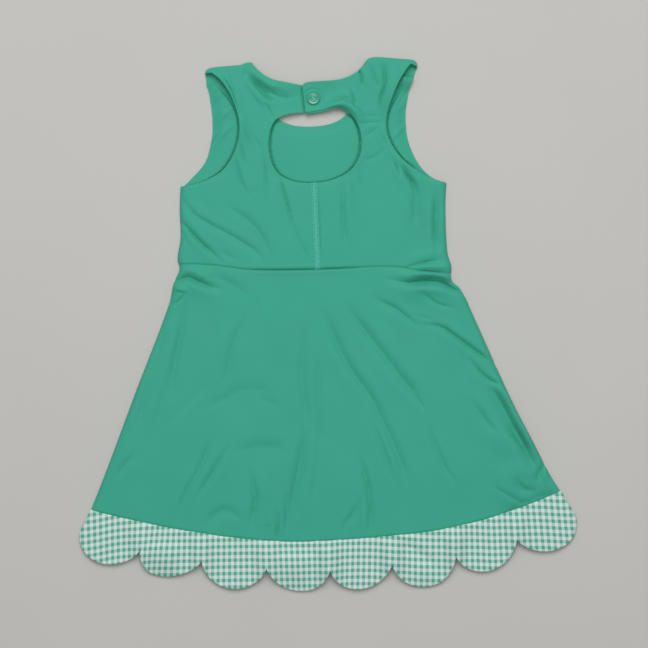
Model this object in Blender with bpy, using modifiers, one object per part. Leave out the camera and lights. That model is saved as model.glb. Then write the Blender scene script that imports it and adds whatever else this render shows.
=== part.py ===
"""A child's sleeveless athletic dress, laid flat on a surface with its back up.

The front panels lie on the surface and the back panels lie on them. The back bodice is cut in two
halves, which meet in a centre seam below a keyhole and lap above it, where a press stud holds them.
Each back half runs over the shoulder and meets the front strap on the underside.

The tables are in millimetres. "across" runs from the middle of the dress to the right, and "up"
runs from the lowest point of the hem towards the neck. Left and right are as seen from above.
"""

import math
from bisect import bisect_left
from collections import namedtuple

import bmesh
import bpy
from mathutils import Vector
from mathutils.geometry import interpolate_bezier, intersect_point_line

MM = 0.001

# Driving dimensions, in millimetres
MIDDLE = 268.0  # up: halfway between the lowest scallop and the top of the right shoulder
WALL = 1.4  # a panel with its facing or its seam allowances
SEAM_GAP = 0.3  # between pieces that are sewn together or lie on each other
FRONT_INSET = 0.6  # how far the front's edges stay inside the back's

# How far the back layer stands off the front layer
PUFF = 2.2  # in the middle of the dress
PUFF_RAMP = 24.0  # the distance from a side seam over which it rises
FOLD_RAMP = 8.0  # the distance from a side seam over which a fold rises
MOST_LOFT = 4.2  # nowhere is there more air than this between the layers
FOLD_FADE = 0.3  # share of a fold's length over which each end dies out
SHOULDER_TURN = 3.0  # radius of the fold over the shoulder, at the middle of the wall
SHOULDER_RAMP = 46.0  # how far down the strap the fold's height dies out
NECK_BAND_LIFT = 2.0  # underside of the neck band above the surface, where no front lies under it

# The press stud
STUD_RADIUS = 7.0
STUD_FLAT, STUD_RAMP = 10.0, 22.0  # the cloth is flat so far from its centre, then eases off
CAP_THICK = 1.3
JOINT_THICK = 1.8  # the socket and stud between the two laps

# The lap of the neck band: where the right half climbs onto the left one, and by how much
LAP_RISE = WALL + JOINT_THICK + 2 * SEAM_GAP
LAP_FROM, LAP_TO = 14.0, -4.0  # across
LAP_LOW, LAP_HIGH = 462.0, 476.0  # up: there is no lap below the first, and all of it above the second

Spot = namedtuple("Spot", "across up")
Scallop = namedtuple("Scallop", "across up bulge lean")
Crease = namedtuple("Crease", "start_across start_up end_across end_up width height")

# One side of the bodice. hand is 1 on the right and -1 on the left. The armholes start at the
# underarm, the folds and seams of the shoulder at their outer end, the keyhole at the centre seam
# and the neck at the shoulder. The shares are those of the side's, the keyhole's and the armhole's
# length at which their edges face each other across the back.
Half = namedtuple(
    "Half",
    "hand side back_armhole front_armhole shoulder_fold shoulder_seam keyhole neck "
    "side_low keyhole_narrow keyhole_strap keyhole_band armhole_narrow",
)

STUD = Spot(-14.6, 494.2)

# Seams
WAIST = (
    Spot(-148.4, 327.4),
    Spot(-117.0, 326.8),
    Spot(-80.0, 322.4),
    Spot(-28.0, 322.2),
    Spot(17.0, 323.8),
    Spot(67.0, 325.0),
    Spot(96.0, 320.5),
    Spot(122.5, 319.0),
)
HEM = (
    Spot(-237.0, 82.0),
    Spot(-161.0, 64.7),
    Spot(-95.0, 54.5),
    Spot(-35.0, 50.2),
    Spot(35.0, 53.7),
    Spot(109.0, 61.7),
    Spot(173.0, 77.5),
    Spot(233.0, 100.5),
)
CENTRE_SEAM = (Spot(-10.4, 322.2), Spot(-14.0, 409.0))

# The gingham band's lower edge: where each scallop starts, how far its arc reaches past the line
# to the next one, and how far its belly leans to the right
SCALLOPS = (
    Scallop(-248.5, 59.0, 22.8, -3.1),
    Scallop(-187.1, 41.4, 21.2, -8.1),
    Scallop(-126.1, 29.4, 22.6, -0.3),
    Scallop(-61.4, 22.5, 20.7, 2.4),
    Scallop(2.0, 20.7, 20.3, -2.4),
    Scallop(64.0, 26.4, 25.4, 0.2),
    Scallop(127.5, 34.7, 21.9, -1.0),
    Scallop(188.3, 51.7, 23.0, 3.9),
)
BAND_RIGHT_END = Spot(248.0, 75.0)

# Side edges of the skirt, from the waist
LEFT_SKIRT_SIDE = (
    Spot(-148.4, 327.4),
    Spot(-148.4, 320.5),
    Spot(-153.6, 310.0),
    Spot(-158.4, 288.0),
    Spot(-194.5, 193.0),
    Spot(-237.0, 82.0),
)
RIGHT_SKIRT_SIDE = (
    Spot(122.5, 319.0),
    Spot(123.6, 310.5),
    Spot(133.0, 302.0),
    Spot(142.4, 282.0),
    Spot(183.1, 192.0),
    Spot(209.3, 142.0),
    Spot(233.0, 100.5),
)

LEFT = Half(
    hand=-1,
    side=(
        Spot(-148.4, 327.4),
        Spot(-150.0, 334.0),
        Spot(-147.0, 354.0),
        Spot(-147.8, 382.0),
        Spot(-147.0, 405.0),
    ),
    back_armhole=(
        Spot(-147.0, 405.0),
        Spot(-126.6, 409.6),
        Spot(-106.2, 420.7),
        Spot(-92.3, 441.0),
        Spot(-88.0, 466.0),
        Spot(-94.0, 492.0),
        Spot(-103.8, 509.0),
        Spot(-115.6, 518.8),
    ),
    front_armhole=(
        Spot(-147.0, 404.0),
        Spot(-138.0, 412.0),
        Spot(-121.7, 432.0),
        Spot(-115.5, 461.0),
        Spot(-117.8, 492.0),
        Spot(-121.6, 507.0),
    ),
    shoulder_fold=(Spot(-121.5, 522.0), Spot(-77.0, 529.0)),
    shoulder_seam=(Spot(-121.6, 507.0), Spot(-72.0, 513.5)),
    keyhole=(
        Spot(-14.0, 409.0),
        Spot(-34.0, 410.4),
        Spot(-49.5, 418.2),
        Spot(-57.6, 432.5),
        Spot(-59.4, 452.0),
        Spot(-53.6, 470.2),
        Spot(-39.7, 477.5),
        Spot(-22.5, 479.0),
        Spot(-5.6, 480.0),
    ),
    neck=(
        Spot(-75.8, 525.4),
        Spot(-66.0, 517.0),
        Spot(-50.0, 511.4),
        Spot(-25.6, 506.7),
        Spot(-5.6, 505.0),
    ),
    side_low=0.60,
    keyhole_narrow=0.51,
    keyhole_strap=0.76,
    keyhole_band=0.84,
    armhole_narrow=0.60,
)
RIGHT = Half(
    hand=1,
    side=(
        Spot(122.5, 319.0),
        Spot(122.6, 327.0),
        Spot(118.9, 340.0),
        Spot(116.8, 382.0),
        Spot(118.0, 409.0),
    ),
    back_armhole=(
        Spot(118.0, 409.0),
        Spot(96.5, 417.0),
        Spot(72.0, 434.5),
        Spot(59.6, 455.0),
        Spot(58.2, 475.0),
        Spot(67.6, 503.9),
        Spot(76.6, 520.4),
        Spot(82.9, 528.4),
    ),
    front_armhole=(
        Spot(118.0, 408.0),
        Spot(96.0, 421.5),
        Spot(81.5, 447.0),
        Spot(77.6, 472.0),
        Spot(79.6, 496.0),
        Spot(86.4, 517.0),
    ),
    shoulder_fold=(Spot(87.5, 531.3), Spot(40.0, 535.0)),
    shoulder_seam=(Spot(86.4, 517.0), Spot(33.0, 521.0)),
    keyhole=(
        Spot(-14.0, 409.0),
        Spot(5.0, 412.3),
        Spot(22.5, 421.6),
        Spot(32.4, 437.0),
        Spot(33.0, 457.4),
        Spot(25.6, 475.0),
        Spot(12.0, 485.4),
        Spot(-5.0, 482.0),
        Spot(-23.5, 479.4),
    ),
    neck=(
        Spot(38.8, 531.2),
        Spot(27.3, 518.6),
        Spot(10.0, 512.0),
        Spot(-21.5, 509.3),
        Spot(-25.6, 505.7),
    ),
    side_low=0.60,
    keyhole_narrow=0.46,
    keyhole_strap=0.67,
    keyhole_band=0.76,
    armhole_narrow=0.57,
)

FRONT_NECK = (
    Spot(-72.0, 513.5),
    Spot(-64.0, 489.0),
    Spot(-44.0, 470.0),
    Spot(-17.0, 465.6),
    Spot(11.0, 472.0),
    Spot(28.0, 492.0),
    Spot(33.0, 521.0),
)
FRONT_NECK_LOW = 0.46  # share of the front neckline at its lowest point
UNDERARM = 406.0  # up: the front's row of vertices from one underarm to the other

# The largest folds of the back layer: ridges, and troughs where the height is negative
CREASES = (
    # bodice
    Crease(-143, 362, -104, 330, 11, -1.5),
    Crease(-138, 378, -88, 346, 16, 1.1),
    Crease(-98, 380, -60, 332, 16, -1.0),
    Crease(-50, 412, -26, 348, 9, -1.3),
    Crease(-86, 446, -76, 394, 9, -0.9),
    Crease(-62, 425, -58, 372, 10, -0.8),
    Crease(12, 396, 18, 344, 12, -0.8),
    Crease(80, 420, 90, 378, 11, -1.3),
    Crease(108, 400, 110, 340, 9, -1.7),
    Crease(74, 328, 124, 327, 8, 1.4),
    Crease(-74, 516, -46, 500, 16, -1.3),
    Crease(52, 524, 54, 484, 12, -1.1),
    # skirt
    Crease(-152, 308, -108, 302, 11, -1.8),
    Crease(-108, 306, -60, 298, 20, 0.8),
    Crease(78, 311, 134, 303, 12, -1.9),
    Crease(60, 296, 122, 262, 15, -1.2),
    Crease(116, 266, 168, 226, 12, -1.6),
    Crease(150, 226, 212, 138, 16, -1.6),
    Crease(4, 276, 50, 190, 15, -1.2),
    Crease(50, 190, 72, 108, 15, -1.1),
    Crease(26, 274, 98, 184, 14, -1.1),
    Crease(-24, 230, -18, 168, 12, -1.0),
    Crease(-22, 156, -36, 64, 13, -1.5),
    Crease(-86, 262, -108, 204, 16, -0.8),
    Crease(-128, 188, -52, 196, 22, 0.9),
    Crease(-112, 140, -46, 148, 20, 1.0),
    Crease(-116, 128, -146, 74, 13, -0.9),
    Crease(-156, 268, -158, 200, 16, -0.8),
    Crease(-196, 128, -224, 92, 18, -0.8),
    Crease(34, 134, 42, 62, 12, -1.0),
    # gingham band, lifted at three of its cusps
    Crease(-59, 62, -62, 2, 20, 1.5),
    Crease(-1, 62, 3, 2, 20, 2.0),
    Crease(62, 66, 66, 8, 20, 1.8),
)

CLOTH_GREEN = (0.051, 0.342, 0.238, 1.0)
GINGHAM_GREEN = (0.36, 0.62, 0.53, 1.0)
STUD_GREEN = (0.12, 0.46, 0.35, 1.0)

# Mesh steps
HALF_ACROSS = 14  # from the keyhole to the outer edge of a back half
SKIRT_ACROSS, SKIRT_DOWN = 4 * HALF_ACROSS, 16
SCALLOP_STEPS, BAND_DOWN = 14, 3
LOW_STEPS, SIDE_STEPS, NARROWING_STEPS, STRAP_STEPS, SHOULDER_STEPS, NECK_STEPS = 8, 4, 8, 7, 6, 8
FRONT_ACROSS, FRONT_SIDE_STEPS, CHEST_STEPS, FRONT_STRAP_STEPS = 7, 8, 5, 11
FRONT_SKIRT_ACROSS, FRONT_SKIRT_DOWN = 4 * FRONT_ACROSS, 6
TURN_STEPS, UNDER_STEPS = 6, 2  # round the shoulder fold, and on to the seam under it
STUD_STEPS = 28
FINE = 400  # a curve that others are read from
ARC_STEPS = 16  # from one of a curve's spots to the next


def clear_scene():
    for obj in list(bpy.data.objects):
        bpy.data.objects.remove(obj, do_unlink=True)


# Curves in plan


def even_points(path, steps):
    """steps + 1 points at equal distances along a path of many points."""
    lengths = [0.0]
    for start, end in zip(path, path[1:]):
        lengths.append(lengths[-1] + (end - start).length)
    points = []
    index = 0
    for step in range(steps + 1):
        target = lengths[-1] * step / steps
        while index < len(path) - 2 and lengths[index + 1] < target:
            index += 1
        span = lengths[index + 1] - lengths[index]
        points.append(path[index].lerp(path[index + 1], (target - lengths[index]) / span))
    return points


def smooth_line(spots, steps):
    """steps + 1 evenly spaced points on a smooth curve through the spots."""
    knots = [Vector((spot.across, spot.up)) for spot in spots]
    headings = [(after - before).normalized() for before, after in zip(knots, knots[2:])]
    first = (knots[1] - knots[0]).normalized()
    last = (knots[-1] - knots[-2]).normalized()
    if headings:
        headings = [2 * first - headings[0], *headings, 2 * last - headings[-1]]
    else:
        headings = [first, last]
    path = []
    for index, (start, end) in enumerate(zip(knots, knots[1:])):
        reach = (end - start).length / 3
        lead = start + headings[index].normalized() * reach
        tail = end - headings[index + 1].normalized() * reach
        path += interpolate_bezier(start, lead, tail, end, ARC_STEPS)[:-1]
    path.append(knots[-1])
    return even_points(path, steps)


def moved_aside(line, distance):
    """The line shifted to the left of its own direction."""
    shifted = []
    for index, point in enumerate(line):
        ahead = line[min(index + 1, len(line) - 1)]
        behind = line[max(index - 1, 0)]
        heading = (ahead - behind).normalized()
        shifted.append(point + Vector((-heading.y, heading.x)) * distance)
    return shifted


def across_at(line, up):
    """Where a line that only climbs stands at this height."""
    ups = [point.y for point in line]
    index = min(max(1, bisect_left(ups, up)), len(line) - 1)
    low, high = line[index - 1], line[index]
    share = min(1.0, max(0.0, (up - low.y) / (high.y - low.y)))
    return low.x + (high.x - low.x) * share


def up_at(line, across):
    """How high a line that only runs to the right stands at this place across."""
    return across_at([point.yx for point in line], across)


def stretch(line, start, end, steps):
    """The part of a line between two shares of its length, as steps + 1 points."""
    fine = even_points(line, FINE)
    return even_points(fine[round(FINE * start) : round(FINE * end) + 1], steps)


# The height of the back layer


def eased(share):
    """0 to 1 with a level start and end."""
    share = min(1.0, max(0.0, share))
    return share * share * (3 - 2 * share)


def crease_height(crease, across, up):
    """A soft ridge that dies out to its sides and towards its ends."""
    point = Vector((across, up))
    start = Vector((crease.start_across, crease.start_up))
    end = Vector((crease.end_across, crease.end_up))
    share = min(1.0, max(0.0, intersect_point_line(point, start, end)[1]))
    away = (point - start.lerp(end, share)).length / crease.width
    if away >= 1:
        return 0.0
    along = eased(share / FOLD_FADE) * eased((1 - share) / FOLD_FADE)
    return crease.height * along * math.cos(away * math.pi / 2) ** 2


def distance_to(segment, across, up):
    start, end = (Vector((spot.across, spot.up)) for spot in segment)
    point = Vector((across, up))
    share = min(1.0, max(0.0, intersect_point_line(point, start, end)[1]))
    return (point - start.lerp(end, share)).length


def lift(across, up, sides):
    """Height of the back layer's underside above the surface it all lies on."""
    lowest = WALL + SEAM_GAP
    left, right = (across_at(side, up) for side in sides)
    room = min(across - left, right - across)
    loft = PUFF * eased(room / PUFF_RAMP)
    ripple = sum(crease_height(crease, across, up) for crease in CREASES)
    loft = min(MOST_LOFT, max(0.0, loft + ripple * eased(room / FOLD_RAMP)))
    height = lowest + loft
    for half in (LEFT, RIGHT):
        near = eased(1 - distance_to((half.back_armhole[-1], half.neck[0]), across, up) / SHOULDER_RAMP)
        height += (2 * SHOULDER_TURN - height) * near
    from_stud = math.hypot(across - STUD.across, up - STUD.up)
    flat = 1 - eased((from_stud - STUD_FLAT) / STUD_RAMP)
    return height + (NECK_BAND_LIFT - height) * flat


def lap(across, up):
    """How far the right half stands above the level that both halves share."""
    in_band = eased((up - LAP_LOW) / (LAP_HIGH - LAP_LOW))
    return LAP_RISE * in_band * eased((LAP_FROM - across) / (LAP_FROM - LAP_TO))


# Meshes


def placed(point, height):
    """A plan point at a height, in the dress's own frame and in metres."""
    return Vector((point.x, point.y - MIDDLE, height)) * MM


def grid_of(bm, rows):
    """A sheet with a vertex at each place of the rows, which all have the same length."""
    made = bmesh.ops.create_grid(bm, x_segments=len(rows[0]) - 1, y_segments=len(rows) - 1, size=1)
    places = [place for row in rows for place in row]
    for vert, place in zip(made["verts"], places):
        vert.co = place
    return [made["verts"][index * len(rows[0]) : (index + 1) * len(rows[0])] for index in range(len(rows))]


def cloth_material(name, colour, roughness):
    material = bpy.data.materials.new(name)
    material.use_nodes = True
    shader = material.node_tree.nodes["Principled BSDF"]
    shader.inputs["Base Color"].default_value = colour
    shader.inputs["Roughness"].default_value = roughness
    shader.inputs["Metallic"].default_value = 0.0
    return material


def object_from(bm, name, material, collection):
    bmesh.ops.recalc_face_normals(bm, faces=bm.faces)
    bm.normal_update()
    if sum(face.normal.z * face.calc_area() for face in bm.faces) < 0:
        bmesh.ops.reverse_faces(bm, faces=bm.faces)
    mesh = bpy.data.meshes.new(name)
    bm.to_mesh(mesh)
    bm.free()
    mesh.materials.append(material)
    mesh.shade_smooth()
    obj = bpy.data.objects.new(name, mesh)
    collection.objects.link(obj)
    return obj


def panel(bm, name, material, collection):
    """A sheet given the wall's thickness, half to each side."""
    obj = object_from(bm, name, material, collection)
    solidify = obj.modifiers.new("Wall", "SOLIDIFY")
    solidify.thickness = WALL * MM
    solidify.offset = 0
    return obj


def sheet_rows(top, bottom, left, right, down):
    """Rows of plan points that fill four edges, each given as evenly spaced points."""
    across = len(top) - 1
    rows = []
    for step in range(down + 1):
        v = step / down
        row = []
        for index in range(across + 1):
            u = index / across
            level = top[index].lerp(bottom[index], v)
            upright = left[step].lerp(right[step], u)
            corner = top[0].lerp(top[-1], u).lerp(bottom[0].lerp(bottom[-1], u), v)
            row.append(level + upright - corner)
        rows.append(row)
    return rows


# The skirt and its gingham band


def waist_between(start, end, steps, rise):
    """A line along the waist seam between two places across, as steps + 1 points."""
    seam = smooth_line(WAIST, FINE)
    places = [start + (end - start) * step / steps for step in range(steps + 1)]
    return [Vector((across, up_at(seam, across) + rise)) for across in places]


def skirt(name, material, collection, inset, across, down, height_at):
    """One side of the skirt, from the waist seam to the hem seam."""
    centre = CENTRE_SEAM[0].across
    halves = joined(
        waist_between(WAIST[0].across, centre, across // 4, -SEAM_GAP / 2),
        waist_between(centre, WAIST[-1].across, across // 4, -SEAM_GAP / 2),
    )
    top = even_points(halves, across)
    bottom = moved_aside(even_points(smooth_line(HEM, across // 2), across), SEAM_GAP / 2)
    left = moved_aside(smooth_line(LEFT_SKIRT_SIDE, down), inset)
    right = moved_aside(smooth_line(RIGHT_SKIRT_SIDE, down), -inset)
    for edge in (top, bottom):
        edge[0] = edge[0] + Vector((inset, 0))
        edge[-1] = edge[-1] - Vector((inset, 0))
    left[0], left[-1] = top[0], bottom[0]
    right[0], right[-1] = top[-1], bottom[-1]
    rows = sheet_rows(top, bottom, left, right, down)
    bm = bmesh.new()
    grid_of(bm, [[placed(point, height_at(point)) for point in row] for row in rows])
    return panel(bm, name, material, collection)


def scalloped_edge(inset):
    """The lower edge of the band: a leaning arc for each scallop."""
    cusps = [Vector((scallop.across, scallop.up)) for scallop in SCALLOPS] + [Vector(BAND_RIGHT_END)]
    edge = [cusps[0]]
    for scallop, start, end in zip(SCALLOPS, cusps, cusps[1:]):
        half = (end - start).length / 2
        radius = (half**2 + scallop.bulge**2) / (2 * scallop.bulge)
        opening = math.asin(half / radius)
        heading = (end - start).normalized()
        down = Vector((heading.y, -heading.x))
        for step in range(1, SCALLOP_STEPS + 1):
            angle = opening * (2 * step / SCALLOP_STEPS - 1)
            depth = scallop.bulge - radius + radius * math.cos(angle)
            along = radius * math.sin(angle) + scallop.lean * depth / scallop.bulge
            edge.append(start.lerp(end, 0.5) + heading * along + down * depth)
    edge = moved_aside(edge, inset)
    edge[0] = edge[0] + Vector((inset, 0))
    edge[-1] = edge[-1] - Vector((inset, 0))
    return edge


def band(name, material, collection, inset, skirt_across, height_at):
    """One side of the scalloped gingham band under the hem seam."""
    columns = len(SCALLOPS) * SCALLOP_STEPS
    top = moved_aside(even_points(smooth_line(HEM, skirt_across // 2), columns), -SEAM_GAP / 2)
    top[0] = top[0] + Vector((inset, 0))
    top[-1] = top[-1] - Vector((inset, 0))
    bottom = scalloped_edge(inset)
    rows = []
    for step in range(BAND_DOWN + 1):
        rows.append([start.lerp(end, step / BAND_DOWN) for start, end in zip(top, bottom)])
    bm = bmesh.new()
    grid_of(bm, [[placed(point, height_at(point)) for point in row] for row in rows])
    return panel(bm, name, material, collection)


# The bodice


def ribbon_rows(inner, outer, waist, steps, side_steps):
    """Rows from the inner edge to the outer one. The first lies on the waist seam, and the curve of
    that seam fades out by the underarm."""
    rows = []
    for index, (start, end) in enumerate(zip(inner, outer)):
        fade = max(0.0, 1 - index / side_steps) ** 2
        row = []
        for step in range(steps + 1):
            u = step / steps
            point = start.lerp(end, u)
            off_straight = waist[step] - waist[0].lerp(waist[-1], u)
            row.append(point + off_straight * fade)
        rows.append(row)
    return rows


def joined(*lines):
    """Lines end to end, each shared end given once."""
    path = list(lines[0])
    for line in lines[1:]:
        path += line[1:]
    return path


def back_half(name, material, collection, half, sides):
    """One half of the back bodice, as a ribbon round its side of the keyhole, with its strap turned
    over the shoulder."""
    gap = SEAM_GAP / 2
    keyhole = smooth_line(half.keyhole, FINE)
    inner = joined(
        [point + Vector((half.hand * gap, 0)) for point in smooth_line(CENTRE_SEAM, LOW_STEPS)],
        stretch(keyhole, 0, half.keyhole_narrow, SIDE_STEPS + NARROWING_STEPS),
        stretch(keyhole, half.keyhole_narrow, half.keyhole_strap, STRAP_STEPS),
        stretch(keyhole, half.keyhole_strap, half.keyhole_band, SHOULDER_STEPS),
        stretch(keyhole, half.keyhole_band, 1, NECK_STEPS),
    )
    side = smooth_line(half.side, FINE)
    armhole = smooth_line(half.back_armhole, FINE)
    turn = smooth_line((half.back_armhole[-1], half.neck[0]), SHOULDER_STEPS)
    outer = joined(
        stretch(side, 0, half.side_low, LOW_STEPS),
        stretch(side, half.side_low, 1, SIDE_STEPS),
        stretch(armhole, 0, half.armhole_narrow, NARROWING_STEPS),
        stretch(armhole, half.armhole_narrow, 1, STRAP_STEPS),
        turn,
        smooth_line(half.neck[:-1], NECK_STEPS - 1),
    )
    outer.append(Vector(half.neck[-1]))
    waist = waist_between(CENTRE_SEAM[0].across, half.side[0].across, HALF_ACROSS, gap)
    waist[0] = waist[0] + Vector((half.hand * gap, 0))
    inner[0], outer[0] = waist[0], waist[-1]

    def height(point):
        level = lift(point.x, point.y, sides) + WALL / 2
        return level + lap(point.x, point.y) if half is RIGHT else level

    bm = bmesh.new()
    rows = ribbon_rows(inner, outer, waist, HALF_ACROSS, LOW_STEPS)
    verts = grid_of(bm, [[placed(point, height(point)) for point in row] for row in rows])
    first = LOW_STEPS + SIDE_STEPS + NARROWING_STEPS + STRAP_STEPS
    strap_end = [row[-1] for row in verts[first : first + SHOULDER_STEPS + 1]]
    fold = smooth_line(half.shoulder_fold, SHOULDER_STEPS)
    seam = smooth_line(half.shoulder_seam, SHOULDER_STEPS)
    turn_over_shoulder(bm, strap_end, turn, fold, seam)
    return panel(bm, name, material, collection)


def turn_over_shoulder(bm, verts, turn, fold, seam):
    """Carries the strap's end over the shoulder fold and back under itself to the shoulder seam."""
    for step in range(1, TURN_STEPS + UNDER_STEPS + 1):
        along = [bm.edges.get((start, end)) for start, end in zip(verts, verts[1:])]
        made = bmesh.ops.extrude_edge_only(bm, edges=along)["geom"]
        new = [item for item in made if isinstance(item, bmesh.types.BMVert)]
        following = []
        for old in verts:
            following.append(min(new, key=lambda vert: (vert.co - old.co).length))
        for vert, start, over, end in zip(following, turn, fold, seam):
            heading = (end - over).normalized()
            top = over + heading * WALL / 2
            under = top + heading * SHOULDER_TURN
            angle = math.pi * min(1, step / TURN_STEPS)
            if angle < math.pi / 2:
                point = start.lerp(top, math.sin(angle))
            else:
                point = under.lerp(top, math.sin(angle))
            if step > TURN_STEPS:
                point = under.lerp(end - heading * SEAM_GAP / 2, (step - TURN_STEPS) / UNDER_STEPS)
            vert.co = placed(point, WALL / 2 + SHOULDER_TURN * (1 + math.cos(angle)))
        verts = following


def front_bodice(name, material, collection):
    """The front bodice: two ribbons that share the centre line, from the waist seam to the shoulder
    seams, flat on the surface."""
    gap = Vector((0, SEAM_GAP / 2))
    neck = smooth_line(FRONT_NECK, FINE)
    low = neck[round(FINE * FRONT_NECK_LOW)]
    bm = bmesh.new()
    for half in (LEFT, RIGHT):
        inset = Vector((half.hand * FRONT_INSET, 0))
        waist = waist_between(CENTRE_SEAM[0].across, half.side[0].across, FRONT_ACROSS, gap.y)
        waist[-1] = waist[-1] - inset
        chest = Vector((across_at([waist[0], low], UNDERARM), UNDERARM))
        if half is RIGHT:
            neck_side = stretch(neck, FRONT_NECK_LOW, 1, FRONT_STRAP_STEPS)
        else:
            neck_side = stretch(neck[::-1], 1 - FRONT_NECK_LOW, 1, FRONT_STRAP_STEPS)
        inner = joined(
            even_points([waist[0], chest], FRONT_SIDE_STEPS),
            even_points([chest, low], CHEST_STEPS),
            neck_side,
        )
        side = [point - inset for point in smooth_line(half.side, FRONT_SIDE_STEPS)]
        armhole = smooth_line(half.front_armhole, CHEST_STEPS + FRONT_STRAP_STEPS)
        outer = side + armhole[1:]
        outer[0] = waist[-1]
        outer[-1], inner[-1] = (Vector(spot) - gap for spot in half.shoulder_seam)
        rows = ribbon_rows(inner, outer, waist, FRONT_ACROSS, FRONT_SIDE_STEPS)
        grid_of(bm, [[placed(point, WALL / 2) for point in row] for row in rows])
    bmesh.ops.remove_doubles(bm, verts=bm.verts, dist=0.01 * MM)
    return panel(bm, name, material, collection)


# The press stud


def turned(name, profile, height, material, collection):
    """A round piece from (radius, height) pairs, listed from the top of its axis down its outer side."""
    mesh = bpy.data.meshes.new(name)
    bm = bmesh.new()
    verts = [bm.verts.new(Vector((radius, 0, level)) * MM) for radius, level in profile]
    for start, end in zip(verts, verts[1:]):
        bm.edges.new((start, end))
    bm.to_mesh(mesh)
    bm.free()
    mesh.materials.append(material)
    obj = bpy.data.objects.new(name, mesh)
    obj.location = placed(Vector(STUD), height)
    screw = obj.modifiers.new("Turn", "SCREW")
    screw.steps = screw.render_steps = STUD_STEPS
    screw.use_merge_vertices = True
    screw.merge_threshold = 0.01 * MM
    collection.objects.link(obj)
    return obj


def press_stud(material, collection):
    """The cap on the right half, the cap under the left half, and the socket and stud between them."""
    under = NECK_BAND_LIFT
    cap = (
        (0, 0.75 * CAP_THICK),
        (0.20 * STUD_RADIUS, 0.75 * CAP_THICK),
        (0.32 * STUD_RADIUS, 0.35 * CAP_THICK),
        (0.62 * STUD_RADIUS, 0.45 * CAP_THICK),
        (0.82 * STUD_RADIUS, CAP_THICK),
        (0.96 * STUD_RADIUS, 0.75 * CAP_THICK),
        (STUD_RADIUS, 0.15 * CAP_THICK),
        (0.94 * STUD_RADIUS, 0),
        (0, 0),
    )
    joint = (
        (0, JOINT_THICK),
        (0.78 * STUD_RADIUS, JOINT_THICK),
        (0.78 * STUD_RADIUS, 0.6 * JOINT_THICK),
        (0.60 * STUD_RADIUS, 0.5 * JOINT_THICK),
        (0.86 * STUD_RADIUS, 0.35 * JOINT_THICK),
        (0.86 * STUD_RADIUS, 0),
        (0, 0),
    )
    flipped = [(radius, -level) for radius, level in reversed(cap)]
    turned("stud_cap", cap, under + LAP_RISE + WALL + SEAM_GAP, material, collection)
    turned("stud_joint", joint, under + WALL + SEAM_GAP, material, collection)
    turned("stud_under_cap", flipped, under - SEAM_GAP, material, collection)


def main():
    clear_scene()
    dress = bpy.data.collections.new("athletic dress")
    bpy.context.scene.collection.children.link(dress)
    knit = cloth_material("green stretch knit", CLOTH_GREEN, 0.62)
    gingham = cloth_material("green gingham", GINGHAM_GREEN, 0.7)
    plastic = cloth_material("green moulded plastic", STUD_GREEN, 0.3)

    sides = []
    for lowest, skirt_side, half in (
        (Vector(SCALLOPS[0][:2]), LEFT_SKIRT_SIDE, LEFT),
        (Vector(BAND_RIGHT_END), RIGHT_SKIRT_SIDE, RIGHT),
    ):
        edge = joined(smooth_line(skirt_side[::-1], SKIRT_DOWN), smooth_line(half.side, LOW_STEPS))
        sides.append([lowest, *edge])

    def on_surface(point):
        return WALL / 2

    def over_front(point):
        return lift(point.x, point.y, sides) + WALL / 2

    front_bodice("front_bodice", knit, dress)
    skirt("front_skirt", knit, dress, FRONT_INSET, FRONT_SKIRT_ACROSS, FRONT_SKIRT_DOWN, on_surface)
    band("front_hem_band", gingham, dress, FRONT_INSET, FRONT_SKIRT_ACROSS, on_surface)
    back_half("back_bodice_left", knit, dress, LEFT, sides)
    back_half("back_bodice_right", knit, dress, RIGHT, sides)
    skirt("back_skirt", knit, dress, 0.0, SKIRT_ACROSS, SKIRT_DOWN, over_front)
    band("back_hem_band", gingham, dress, 0.0, SKIRT_ACROSS, over_front)
    press_stud(plastic, dress)


main()
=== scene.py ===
"""The looks of a child's sleeveless athletic dress, laid flat with its back up.

Every cloth panel is a thin shell on the form of its solid, with the creases that the laid-out dress
has. The sewing that shows and the press stud are modelled too.

The tables are in millimetres. "across" runs from the middle of the dress to the right, and "up" runs
from the lowest point of the hem towards the neck. Left and right are as seen from above. The plan
shapes are those that the solids are built from.
"""

import math
from collections import namedtuple

import bmesh
import bpy
import numpy as np
from mathutils import Matrix, Vector, noise
from mathutils.geometry import interpolate_bezier


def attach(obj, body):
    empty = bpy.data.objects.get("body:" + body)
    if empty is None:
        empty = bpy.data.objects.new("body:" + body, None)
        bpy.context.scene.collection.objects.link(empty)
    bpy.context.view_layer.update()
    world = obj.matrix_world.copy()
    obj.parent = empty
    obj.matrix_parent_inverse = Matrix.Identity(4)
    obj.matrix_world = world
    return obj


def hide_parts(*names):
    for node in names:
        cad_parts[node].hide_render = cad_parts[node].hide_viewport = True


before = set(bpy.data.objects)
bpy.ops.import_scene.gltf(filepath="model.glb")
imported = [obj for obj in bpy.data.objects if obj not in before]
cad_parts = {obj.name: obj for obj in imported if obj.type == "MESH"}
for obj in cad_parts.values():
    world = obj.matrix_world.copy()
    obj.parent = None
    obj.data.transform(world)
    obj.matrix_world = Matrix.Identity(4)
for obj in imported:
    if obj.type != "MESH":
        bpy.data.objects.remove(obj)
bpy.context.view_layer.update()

MM = 0.001

# Driving dimensions, in millimetres
MIDDLE = 268.0  # up: halfway between the lowest scallop and the top of the right shoulder
WALL = 1.4  # a solid's wall
SEAM_GAP = 0.3  # between solids that are sewn together or lie on each other
FRONT_INSET = 0.6  # how far the front's edges stay inside the back's
CLOTH = 1.1  # the shell: knit with its facing or seam allowances

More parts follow.
